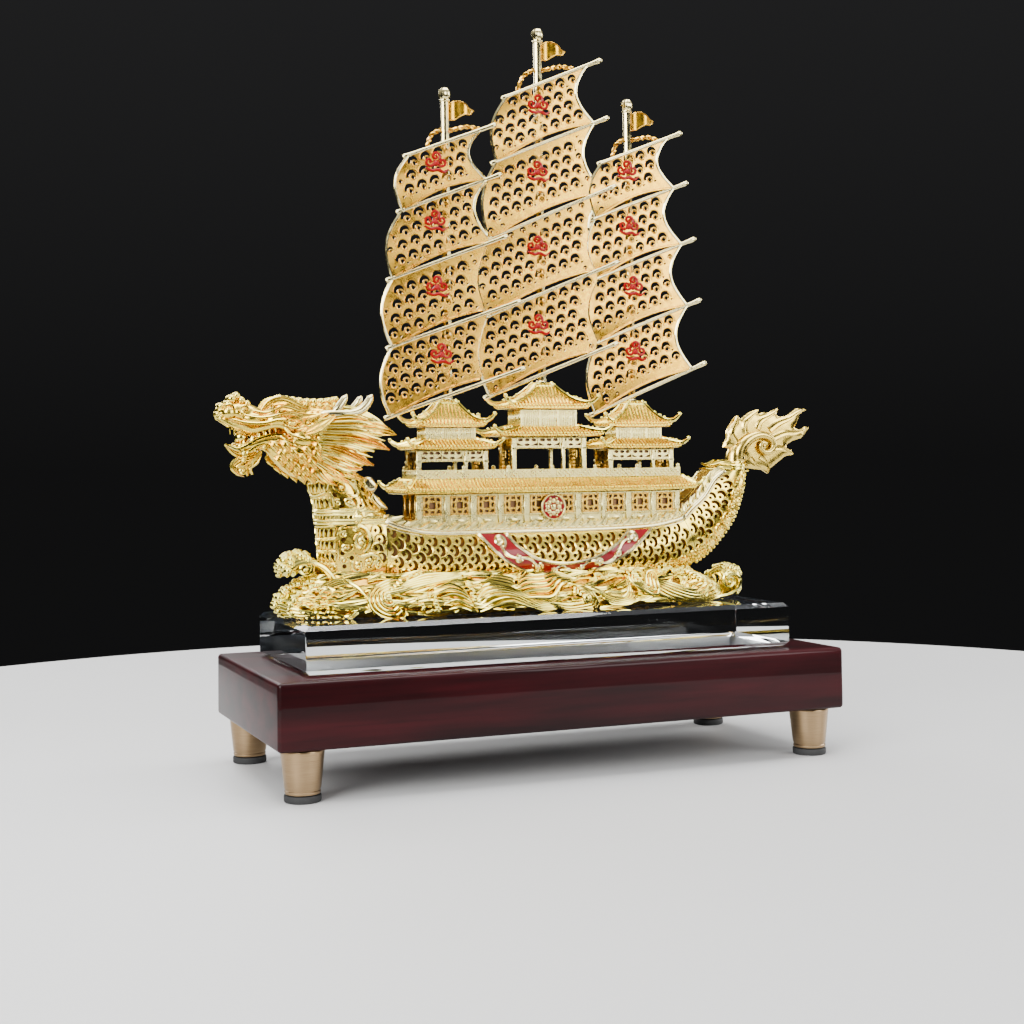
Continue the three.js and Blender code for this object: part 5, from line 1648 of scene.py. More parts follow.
def tooth(shells, x, y, base, tip, radius, forward=0.0):
    """A tapering tooth from the base height to the tip height."""
    middle = (x * 0.45 + (x + forward) * 0.55, y * 0.45 + y * 0.55, base * 0.45 + tip * 0.55)
    tube(shells, [(x, y, base, radius), (*middle, radius * 0.62), (x + forward, y, tip, 0.12)], 7, count=6)


def build_head():
    body = Shells()
    for centre, radius, stretch in (
        ((-92, 0, 130.6), 9.2, (1.35, 0.86, 0.98)), ((-80.6, 0, 122), 8.8, (1.15, 1.04, 1.0)),
        ((-82, 0, 131), 7.6, (1.3, 1.0, 0.9)),
        ((-104, 0, 134), 6.2, (1.2, 0.98, 0.95)),
    ):
        bead(body, centre, radius, stretch, 3)
    for rows in (
        [
            (-100, 0, 134, 6.2), (-106, 0, 134.6, 5.1), (-112, 0, 134.6, 4.4), (-117, 0, 136.4, 4.5),
            (-122, 0, 137.6, 4.3), (-126, 0, 137.6, 3.0),
        ],
        [
            (-108.6, 0, 125.6, 3.2), (-104, 0, 122.4, 5), (-98, 0, 119.4, 6.6), (-90, 0, 119, 7.6),
            (-84, 0, 119.4, 7.4),
        ],
        [(-107, 0, 140, 2.4), (-98, 0, 139.8, 2.6), (-88, 0, 139, 3), (-78, 0, 136, 3), (-70, 0, 131, 2.2)],
    ):
        tube(body, rows, sides=14, count=24)
    for y in SIDES:
        for centre, radius, stretch in (
            ((-97.4, y * 5.6, 127.4), 4.4, (1.2, 0.9, 1.1)),
            ((-104.6, y * 3.6, 139.2), 3.3, (1.1, 0.9, 0.95)),
            ((-106.6, y * 4.6, 134.4), 3.3, (1.5, 0.8, 0.9)), ((-124.8, y * 2.6, 137.4), 2.7, (1.1, 1, 1)),
            ((-99, y * 5, 122.4), 3.8, (1.3, 0.9, 0.8)), ((-115.6, y * 3.2, 135.2), 2.8, (1.6, 0.9, 0.9)),
        ):
            bead(body, centre, radius, stretch, 3)
    bead(body, (-127.4, 0, 138.2), 2.2, (1, 1.3, 1), 3)
    skull = make_piece("head_body", body, GOLD, ["dragon_head"])
    fuse(skull, 0.66)

    face, mane = Shells(), Shells()
    for y in SIDES:
        # Nose: a knotted knob over curled nostrils.
        for x, side, z, radius in (
            (-123.6, 1.3, 142.6, 1.8), (-121.6, 1.4, 143.9, 1.35), (-124.8, 1.5, 140.9, 1.5),
            (-119.8, 1.6, 142.2, 1.4),
            (-117.6, 1.6, 141, 1.2), (-127.6, 1.6, 139.8, 1.5), (-128.6, 1.2, 137, 1.3),
        ):
            bead(face, (x, y * side, z), radius, (1, 1.1, 1))
        scroll(face, (-124.8, y * 4.4, 138.6), 2.1, 1.4 * y, 2.6, 0.55)
        scroll(face, (-127.6, y * 3, 136), 1.4, -1.2 * y, 0.6, 0.5, (1, 0, 0.2))
        scroll(face, (-119.6, y * 4.7, 138.4), 1.8, -1.4 * y, 0.2, 0.5)
        # Lips and the folds over them.
        for rows in (
            [
                (-128.8, 1.4, 136, 0.7), (-126.4, 3, 134.6, 0.85), (-123, 4, 132.8, 0.95),
                (-119.5, 4.6, 131.5, 0.9), (-116.2, 4.9, 130.6, 0.9),
                (-112.4, 5.4, 131.4, 0.9), (-108, 6.2, 132.5, 0.85), (-104.4, 7, 131.6, 0.75),
                (-103, 7.4, 129.6, 0.5),
            ],
            [
                (-124, 4.4, 135, 0.35), (-118.6, 5, 133.6, 0.6), (-112.4, 5.8, 133.4, 0.7),
                (-107, 6.9, 134.6, 0.6), (-103.6, 7.6, 134.2, 0.25),
            ],
            [(-121, 4.6, 137, 0.35), (-115, 5.2, 135.6, 0.6), (-110, 5.9, 135.8, 0.6), (-106, 6.6, 137, 0.3)],
            [(-116, 4.4, 138.2, 0.3), (-111.4, 4.9, 137.4, 0.55), (-107.4, 5.6, 138.6, 0.3)],
            [
                (-105, 7.2, 132, 0.3), (-103, 8.2, 129.4, 0.6), (-99.9, 8.9, 128.1, 0.6),
                (-96, 9.5, 127, 0.6), (-91.2, 9.9, 126.8, 0.3),
            ],
            [
                (-106, 6.4, 128.6, 0.3), (-103.4, 7.4, 126.6, 0.6), (-99.4, 8.4, 125.2, 0.6),
                (-94.6, 9.2, 124.4, 0.3),
            ],
        ):
            tube(face, on_side(rows, y), sides=8, count=24)
        # Eye under a heavy brow.
        bead(face, (-101.9, y * 7.5, 133.3), 1.5, (1.25, 0.8, 0.85), 3)
        bead(face, (-102.1, y * 8.5, 133.3), 0.55)
        for rows in (
            [
                (-104.8, 7, 133.2, 0.35), (-102.6, 8.2, 135.1, 0.55), (-99.4, 8.6, 135, 0.55),
                (-97.4, 8.4, 133, 0.3),
            ],
            [
                (-104.6, 7.2, 132.8, 0.3), (-102.2, 8.4, 131.5, 0.5), (-99.2, 8.7, 131.7, 0.4),
                (-97.4, 8.4, 132.8, 0.3),
            ],
        ):
            tube(face, on_side(rows, y), sides=7, count=14)
        for rows in (
            [
                (-112.6, 3.6, 138.2, 0.5, 0.6), (-109.4, 4.8, 141.2, 1.5, 1.3),
                (-104.6, 6.2, 142.1, 1.7, 1.5), (-99, 7.4, 139.6, 1.2, 1), (-95.4, 8, 138.2, 0.2, 0.3),
            ],
            [
                (-108, 5.6, 138.4, 0.5, 0.5), (-104, 7.2, 139.4, 1.2, 1.1), (-99, 8.2, 137.8, 1.1, 1),
                (-94.6, 8.8, 138.4, 0.2, 0.2),
            ],
            [
                (-107, 6.4, 136.2, 0.4, 0.4), (-102.4, 8, 137.2, 1, 0.9), (-97.6, 8.8, 136.2, 0.9, 0.8),
                (-93, 9.2, 136.6, 0.2, 0.2),
            ],
            [
                (-97.8, 8.6, 129.4, 0.8, 0.8), (-94.2, 10, 130.8, 2.1, 1.3), (-90.4, 10.7, 133.2, 2.2, 1.3),
                (-86, 10, 136, 0.3, 0.4),
            ],
            [(-96, 8.4, 133, 0.5, 0.6), (-92.6, 9.4, 135.2, 1.1, 0.9), (-88.8, 9.2, 137, 0.3, 0.3)],
        ):
            strand(face, on_side(rows, y), (0, y, 0.3), 3, 0.45, 16, 13)
        scroll(face, (-96, y * 8.9, 133.6), 1.8, 1.5 * y, 0.4, 0.5)
        scroll(face, (-100.2, y * 8.1, 125.8), 1.7, -1.4 * y, 1.2, 0.5)
        scroll(face, (-91.8, y * 9.8, 127.8), 1.5, 1.4 * y, 1.8, 0.45)
        # Beaded crest along the crown.
        for k, (x, z) in enumerate(
            spline(
                [
                    (-105.4, 143), (-101.9, 142.6), (-98.5, 142.2), (-94.5, 141.8), (-91, 141.8),
                    (-87.1, 142), (-83.4, 142.6),
                ],
                9,
            )
        ):
            bead(face, (x, y * 2, z), 1.45 - 0.03 * k, (1.05, 1, 1))
            bead(face, (x + 1.4, y * 4.6, z - 1.6), 0.95)
        # Teeth.
        for x, side, top, tip in (
            (-123.2, 3.5, 132.6, 129.6), (-114.6, 4.6, 130.6, 128.8), (-112.4, 4.9, 131, 129.2),
            (-110.2, 5.3, 131.6, 129.6), (-108, 5.7, 132, 130),
        ):
            tooth(face, x, y * side, top, tip, 0.6, 0.2)
        # Cheek and throat: overlapping tufts that point down and aft.
        for x, z, long in (
            (-110.6, 126.2, 3.4), (-108, 123.2, 3.6), (-105, 120.6, 3.8), (-102, 118.4, 3.8),
            (-98.6, 117, 3.8), (-95, 116, 3.6),
            (-106.6, 126.4, 3.8), (-103.6, 123.8, 4), (-100.2, 121.6, 4.2), (-96.6, 119.8, 4.2),
            (-93, 118.4, 4),
            (-98.4, 124.4, 4), (-95, 122.8, 4.4), (-91.8, 121.4, 4.2), (-94.4, 126, 4),
            (-108.6, 120.8, 3.4), (-106, 118.4, 3.6), (-103.2, 116.6, 3.6), (-100, 115.2, 3.8),
            (-96.6, 114.4, 3.8), (-93, 114, 3.8),
        ):
            side = np.interp(z + 0.35 * (x + 100), [114, 120, 128], [5.4, 7.6, 8.6])
            rows = [
                (x, side, z, 0.7, 0.6), (x + long * 0.35, side + 0.9, z - long * 0.25, 1.35, 1),
                (x + long * 0.75, side + 0.9, z - long * 0.75, 0.9, 0.8),
                (x + long * 0.85, side + 0.5, z - long * 1.1, 0.15, 0.2),
            ]
            strand(face, on_side(rows, y), (-0.2, y, -0.2), 3, 0.45, 12, 10)
        # Mane: broad locks and fine strands between, fanned aft from behind the ear.
        for rows, ridges in (
            (
                [
                    (-88, 8.4, 134.4, 1.2, 0.8), (-80, 9.8, 134.8, 2.1, 1.5), (-74, 9.8, 133.8, 1.6, 1.2),
                    (-69.2, 8.8, 132.6, 0.2, 0.3),
                ],
                4,
            ),
            (
                [
                    (-89, 9, 131.6, 1.2, 0.8), (-79, 10.3, 131.8, 2.4, 1.7), (-70, 10.3, 131.4, 2.9, 1.9),
                    (-65.6, 9.6, 130.2, 1.8, 1.4), (-61.6, 8.8, 128.8, 0.2, 0.3),
                ],
                4,
            ),
            (
                [
                    (-89.6, 9.4, 128.6, 1.2, 0.8), (-80.6, 10.4, 128, 2.9, 1.9), (-72, 10.5, 126, 2.6, 1.7),
                    (-67.8, 10, 124.4, 1.3, 1.1), (-64.4, 9.6, 123, 0.2, 0.3),
                ],
                6,
            ),
            (
                [
                    (-90.4, 9.6, 125, 1.2, 0.8), (-83.6, 10.5, 123, 2.8, 1.9), (-77, 10.5, 119.8, 2.4, 1.7),
                    (-73.6, 10.1, 118.2, 1.1, 1), (-70.8, 9.6, 117.2, 0.2, 0.3),
                ],
                6,
            ),
            (
                [
                    (-91.4, 9.4, 121.6, 1.1, 0.8), (-86, 10.2, 118.8, 2.2, 1.6), (-80.6, 10, 116.6, 1.7, 1.3),
                    (-75.4, 9.5, 115.8, 0.2, 0.3),
                ],
                5,
            ),
            (
                [
                    (-93, 9, 118.6, 1, 0.7), (-88.6, 9.5, 116, 1.9, 1.3), (-84.4, 9.3, 114.2, 1.2, 1),
                    (-80.4, 9, 113.3, 0.2, 0.3),
                ],
                4,
            ),
            (
                [
                    (-93, 8.4, 117.4, 1, 0.7), (-91, 9.2, 114.2, 1.9, 1.3), (-88.2, 9.4, 111.4, 1.2, 1),
                    (-85.2, 9, 109.8, 0.2, 0.3),
                ],
                4,
            ),
            (
                [
                    (-89.6, 8.8, 117, 1, 0.7), (-86.6, 9.6, 114, 1.9, 1.3), (-83, 9.4, 111.8, 1.2, 1),
                    (-79.6, 9, 110.8, 0.2, 0.3),
                ],
                4,
            ),
            (
                [
                    (-84.6, 8.8, 117.4, 1, 0.7), (-80.8, 9.4, 114.6, 1.9, 1.3), (-77, 8.8, 112.8, 1.2, 1),
                    (-73.6, 8, 112.2, 0.2, 0.3),
                ],
                4,
            ),
            (
                [
                    (-86, 5.4, 138.6, 1, 0.7), (-78, 6, 138, 1.7, 1.2), (-71.6, 5.4, 136, 1.4, 1),
                    (-66.6, 4.8, 133.8, 0.2, 0.3),
                ],
                3,
            ),
            (
                [
                    (-84, 1.6, 140.2, 1, 0.7), (-76, 1.8, 138.6, 1.9, 1.3), (-68, 1.4, 135, 1.6, 1.2),
                    (-62, 0.9, 131, 0.2, 0.3),
                ],
                3,
            ),
        ):
            rows = on_side(rows, y)
            out = (0, y, 0.2) if abs(rows[1, 1]) > 7 else (0, y * 0.5, 1)
            strand(mane, rows, out, ridges, 0.5, 26, 4 * ridges + 3)
        for k in range(16):
            share = k / 15
            start = np.array([-90.4 - 2 * math.sin(share * math.pi), 9.9, 133.4 - 14.4 * share])
            end = np.array(
                [
                    -65.4 - 13 * share**1.5 - (k % 3) * 1.3, 10.7 - 0.8 * share,
                    130.8 - 15.6 * share - (k % 2) * 1.2,
                ]
            )
            bend = (start + end) / 2 + [0, 0.7, 1.8 - 2.2 * share]
            rows = [
                (*start, 0.35, 0.5), (*bend, 0.68, 0.85), (*(bend * 0.35 + end * 0.65), 0.6, 0.8),
                (*end, 0.12, 0.2),
            ]
            strand(mane, on_side(rows, y), (0, y, 0.2), 1, 0.2, 16, 6)
    make_piece("head_face", face, GOLD, ["dragon_head"])
    make_piece("head_mane", mane, MANE_GOLD, ["dragon_head"])

    jaw = Shells()
    for rows in (
        [
            (-122.6, 0, 124.8, 1.6), (-119, 0, 124.2, 2.3), (-114, 0, 125.4, 2.4), (-108, 0, 126.6, 2.6),
            (-101.5, 0, 126, 3),
        ],
        *(on_side([
            (-121, 2.2, 124.9, 1.4), (-117, 3.2, 125.2, 1.6), (-111, 3.8, 127, 1.7), (-103, 4.4, 127.6, 1.8),
        ], side) for side in (STARBOARD, PORT)),
    ):
        tube(jaw, rows, sides=12, count=22)
    chin = make_piece("jaw_body", jaw, GOLD, ["lower_jaw"])
    fuse(chin, 0.5)
    lip = Shells()
    for y in SIDES:
        tube(lip, on_side([
            (-125.6, 0.7, 125.7, 0.3), (-123.8, 1.8, 124.9, 0.75), (-121.2, 2.9, 124, 0.85),
            (-117.6, 4, 125.6, 0.85), (-113.6, 4.7, 127.8, 0.85),
            (-109, 5.3, 129, 0.75), (-104.4, 6, 129, 0.5),
        ], y), sides=8, count=26)
        fold = [
            (-121.6, 2.4, 122.6, 0.3), (-118, 3.8, 123, 0.6), (-114, 4.5, 125.4, 0.6),
            (-109.6, 4.9, 126.4, 0.3),
        ]
        tube(lip, on_side(fold, y), sides=7, count=18)
        for k, (x, z) in enumerate(((-119.4, 126), (-116.4, 127.6), (-113.8, 129), (-111.4, 129.6))):
            tooth(lip, x, y * (3.2 + 0.4 * k), z - 0.6, z + 1.1, 0.5)
        for x, z, radius in ((-119.4, 122.8, 1.3), (-115.6, 123.8, 1.3), (-111.8, 125, 1.2)):
            scroll(lip, (x, y * 4.1, z), radius, 1.3 * y, x, 0.42)
    bead(lip, (-119.8, 0, 128.2), 2.4, (1.1, 1.15, 1), 3)
    strand(
        lip,
        [
            (-104, 0, 128.6, 2, 0.8), (-110, 0, 129.4, 2.4, 0.9), (-116, 0, 129, 2.2, 0.9),
            (-120.6, 0, 130.4, 0.6, 0.4),
        ],
        (0.2, 0, 1), 2, 0.3, 18,
    )
    make_piece("jaw_lips", lip, BRIGHT_GOLD, ["lower_jaw"])

    beard = Shells()
    for rows, ridges in (
        (
            [
                (-114, 0, 122.4, 1.2, 1), (-118, 0, 121.6, 1.8, 1.4), (-122, 0, 122.6, 1.3, 1),
                (-125.6, 0, 125.2, 0.3, 0.3),
            ],
            3,
        ),
        (
            [
                (-113, 0.3, 121.6, 1.2, 0.9), (-118.6, 0.5, 120.4, 1.9, 1.4), (-122.4, 0.5, 117.6, 1.5, 1.1),
                (-121, 0.4, 114.6, 0.6, 0.6), (-118.6, 0.3, 113.6, 0.3, 0.3),
            ],
            3,
        ),
        (
            [
                (-112.6, 0, 122, 1, 0.8), (-114.6, 0, 119.4, 1.7, 1.3), (-117.4, 0, 116.8, 1.3, 1),
                (-117.2, 0, 113.8, 0.4, 0.4),
            ],
            3,
        ),
    ):
        for y in (-0.9, 0.9):
            strand(beard, np.array(rows) + [0, y, 0, -0.2, 0], (0, np.sign(y), 0), ridges, 0.45, 18, 13)
    for y in SIDES:
        scroll(beard, (-119.6, y * 1.4, 115.8), 1.9, 1.4 * y, 2.4, 0.55)
        scroll(beard, (-118.8, y * 1.5, 120), 1.3, -1.3 * y, 1.0, 0.45)
        rows = [
            (-112.6, 1.2, 122.6, 0.7), (-115.4, 1.6, 119.6, 0.8), (-116.4, 1.4, 116.6, 0.5),
            (-115.4, 1, 114.4, 0.2),
        ]
        tube(beard, on_side(rows, y), sides=7, count=14)
    make_piece("beard_locks", beard, GOLD, ["beard"])

    for flank_name, y in (("port", PORT), ("starboard", STARBOARD)):
        horn = Shells()
        beam = [
            (-90, 6.6, 137.2, 1.0), (-86.6, 7.4, 136.9, 1.6), (-83.4, 7.7, 136.8, 1.8),
            (-79, 7.7, 136.9, 1.75), (-75.2, 7.5, 138.2, 1.7),
            (-72.6, 7.3, 140.6, 1.6), (-71.2, 7.1, 142.9, 1.35), (-70.6, 7, 143.9, 0.7),
        ]
        tube(horn, on_side(beam, y), sides=12, count=36)
        prong = [
            (-86, 7.4, 137.4, 1.2), (-84.4, 7.5, 138.8, 1.5), (-82.6, 7.3, 141.0, 1.45),
            (-81.2, 7.1, 142.9, 1.25), (-80.6, 7, 143.8, 0.6),
        ]
        tube(horn, on_side(prong, y), sides=12, count=16)
        bead(horn, (-83.8, y * 7.6, 137.3), 1.6, (1.5, 0.85, 0.9), 3)
        make_piece(f"horn_antler_{flank_name}", horn, SILVERED, [f"horn_{flank_name}"])


# Dragon: tail

TAIL_FLAME = [
    (86.9, 123.3), (88.5, 126.7), (89.4, 130.4), (91.7, 133), (93.1, 134.5), (94.1, 136.9), (95.6, 135),
    (97.3, 136.4),
    (100.2, 138.2), (104.5, 139.5), (103.9, 137.4), (107.3, 138.2), (109.8, 137.2), (114, 140),
    (113.3, 136.9), (116.1, 135.7),
    (119.6, 137.2), (123.7, 139.9), (128.2, 139.5), (125.1, 137.2), (123.8, 133.5), (122.1, 131.5),
    (125.3, 130.3),
    (128, 132.2), (129.9, 131.2), (127.4, 128.5), (125.4, 126.9), (121.1, 125.8), (118.1, 123.9),
    (118.4, 121.9), (120.4, 121.9),
    (121.8, 119.8), (117.4, 119.2), (113.4, 116.5), (109.9, 114.1), (108.6, 111.7), (105.9, 113.4),
    (101.9, 113.8), (97.2, 114.4),
    (97.2, 117.6), (94, 121), (90, 122.6),
]


def build_tail():
    flame, relief, collar = Shells(), Shells(), Shells()
    outline = np.array(TAIL_FLAME)
    plate(flame, outline, [], pillow(outline, 0.45, 1.25, 3.2), -1, 1, 1.1)
    for y in SIDES:
        for rows in (
            [(93, 125, 1.6, 1), (90.6, 129, 1.4, 1), (92.6, 133.4, 0.9, 0.8), (94, 136.4, 0.2, 0.3)],
            [(97, 129, 1.8, 1.1), (97, 133, 1.5, 1), (100.4, 136.4, 0.9, 0.8), (104, 138.9, 0.2, 0.3)],
            [(103, 131, 1.8, 1.1), (105, 134.4, 1.5, 1), (109.4, 136.6, 0.9, 0.8), (113.6, 139.2, 0.2, 0.3)],
            [
                (109, 130.6, 2, 1.2), (113.4, 133.4, 1.8, 1.2), (119.6, 135.6, 1.2, 0.9),
                (124, 138.2, 0.7, 0.6), (127.6, 139.1, 0.2, 0.3),
            ],
            [(111, 127, 1.8, 1.1), (116.6, 129, 1.6, 1.1), (122, 129.2, 1.2, 0.9), (128.6, 130.9, 0.2, 0.3)],
            [
                (110.6, 122.6, 1.6, 1), (114.4, 122.6, 1.5, 1), (118.6, 121.4, 0.8, 0.7),
                (121, 120.2, 0.2, 0.3),
            ],
            [
                (104, 119, 1.6, 1), (106.4, 117.4, 1.4, 0.9), (108.4, 114.6, 0.8, 0.7),
                (108.5, 112.4, 0.2, 0.3),
            ],
            [(99.4, 118.6, 1.2, 0.8), (101.4, 116.4, 1.2, 0.8), (104.6, 114.6, 0.3, 0.3)],
        ):
            rows = [(x, y * 1.35, z, wide, high) for x, z, wide, high in rows]
            strand(relief, rows, (0, y, 0), 2, 0.3, 16)
        # The smooth stem splits round the fin and ends in a spiral on each face.
        stem = [
            (93.6, 1.2, 118, 3.2), (94, 1.6, 121.4, 2.9), (96.4, 2.1, 125, 2.6), (100.6, 2.5, 127.6, 2.1),
            (105.2, 2.7, 128.2, 1.8),
            (109, 2.8, 126.6, 1.6), (110.2, 2.9, 123.6, 1.45), (108.2, 3, 121.2, 1.35),
            (105.2, 3.1, 121.2, 1.2),
            (103.6, 3.2, 123.2, 1.1), (104.6, 3.3, 125, 1), (106.6, 3.4, 124.6, 0.9),
        ]
        tube(relief, on_side(stem, y), sides=12, count=60)
        bead(relief, (105.4, y * 2.9, 123.5), 1.5, (1, 0.7, 1))
    tube(
        relief, [(92.2, 0, 117.2, 4), (92.4, 0, 119.6, 3.7), (93.4, 0, 122, 3.2), (95.4, 0, 124.2, 2.6)],
        sides=16, count=16,
    )
    for z, along_x, across, radius in ((114.1, 5, 4.2, 0.75), (115.4, 5.3, 4.5, 0.8), (116.6, 4.6, 3.9, 0.7)):
        turn = np.linspace(0, 2 * math.pi, 32, endpoint=False)
        ring = np.stack([91.2 + along_x * np.cos(turn), across * np.sin(turn), z + 0.4 * np.cos(turn * 5)], 1)
        bar(collar, ring, radius, loop=True)
    angles = np.linspace(0, 2 * math.pi, 24, endpoint=False)
    loft(collar, [
        np.stack([91.1 + (5 + grow) * np.cos(angles), (4.2 + grow) * np.sin(angles), np.full(24, z)], 1)
        for z, grow in ((113.7, 0), (115.4, 0.3), (116.9, -0.5))
    ])
    for y in SIDES:
        for rows in (
            [
                (88.4, 3.6, 116.4, 1.1, 0.9), (84.4, 3.4, 117, 1, 0.8), (80.4, 2.8, 116, 0.6, 0.5),
                (77.6, 2.2, 116.6, 0.15, 0.2),
            ],
            [
                (88.2, 4, 114.6, 1, 0.8), (83.6, 4, 115, 0.9, 0.7), (79.4, 3.2, 114.2, 0.5, 0.4),
                (76.9, 2.6, 114.5, 0.15, 0.2),
            ],
        ):
            strand(collar, on_side(rows, y), (0, y, 0.3), 2, 0.4, 16)
    make_piece("tail_flame", flame, TAIL_GOLD, ["tail_fin"])
    make_piece("tail_relief", relief, TAIL_GOLD, ["tail_fin"])
    make_piece("tail_rings", collar, BRIGHT_GOLD, ["tail_collar"])


# Waves

# Up the side of the cast waves: height along the slope, z, middle x, half length, half width.
MOUND = spline([
    (0, 60.3, -9.3, 91.3, 21.4), (3, 63, -11.3, 93.3, 23), (6, 66, -13.5, 91.9, 23.2),
    (9.6, 69, -14.8, 87.8, 20.8),
    (13, 71.6, -15, 83.6, 17.8), (17, 75, -15, 80, 14.4), (20, 77, -15.5, 76.5, 10.6),
], 60)
ROUNDNESS = 2 / 2.3
TURN = np.linspace(math.pi, 0, 1441)


def mound_at(angle, v):
    z, x, long, wide = (np.interp(v, MOUND[:, 0], MOUND[:, k]) for k in (1, 2, 3, 4))
    cos, sin = np.cos(angle), np.sin(angle)
    return np.stack([
        x + long * np.sign(cos) * np.abs(cos) ** ROUNDNESS, -wide * np.sign(sin) * np.abs(sin) ** ROUNDNESS,
        z,
    ], -1)


GIRTH_PATH = mound_at(TURN, np.full(len(TURN), 6.0))
GIRTH = np.concatenate([[0], np.cumsum(np.linalg.norm(np.diff(GIRTH_PATH, axis=0), axis=1))])


def girth_of(x):
    """How far round the port side from the bow tip the waves reach x."""
    return np.interp(x, GIRTH_PATH[:, 0], GIRTH)


def on_mound(u, v, w):
    u, v, w = (np.asarray(a, float) for a in np.broadcast_arrays(u, v, w))

    def at(a, b):
        return mound_at(np.interp(a, GIRTH, TURN), b)

    low, high = np.clip(u - 0.8, 0, GIRTH[-1]), np.clip(u + 0.8, 0, GIRTH[-1])
    normal = unit(np.cross(at(high, v) - at(low, v), at(u, v + 0.5) - at(u, v - 0.5)))
    return at(u, v) + normal * w[..., None]


def on_mound_x(x, v, w):
    return on_mound(girth_of(np.asarray(x, float)), v, w)


def foam(shells, place, rows, count, radius, seed, spread=1.0):
    """A bank of foam beads strewn along rows of u, v and height."""
    dice = np.random.default_rng(seed)
    rows = spline(rows, count)
    for u, v, w in rows:
        spot = spot_on(
            place, u + dice.uniform(-spread, spread), v + dice.uniform(-spread, spread),
            w + dice.uniform(-0.2, 0.5),
        )
        bead(shells, spot, radius * dice.uniform(0.6, 1.15))


def swirl(shells, place, u, v, radius, arms, start, sweep, tail, width=0.75, height=1.3):
    """Ribs that wind round (u, v) inside each other and run out together to the tail points."""
    side = 1 if math.sin(math.radians(start + sweep)) > 0 else -1
    for k in range(arms):
        share = (k + 1) / arms
        reach = radius * share
        angles = np.radians(np.linspace(start, start + sweep, 9))
        crown = height * (0.6 + 0.5 * share)
        rows = [(u + reach * math.cos(a), v + reach * 0.92 * math.sin(a), width, crown) for a in angles]
        for (tu, tv), shrink in zip(tail, np.linspace(0.95, 0.25, len(tail))):
            rows.append((
                tu + (share - 0.5) * radius * 0.25, tv + side * (share - 0.5) * radius * 0.95 * shrink,
                width * (0.5 + shrink / 2), height * shrink,
            ))
        laid_strand(
            shells, place, rows, ridges=1, relief=0.0, count=24 + 6 * len(tail), span=7, lift=0.2 + 0.7 * (
                1 - share
            ),
        )
    bead(shells, spot_on(place, u, v, 0.9), radius / arms * 0.9)


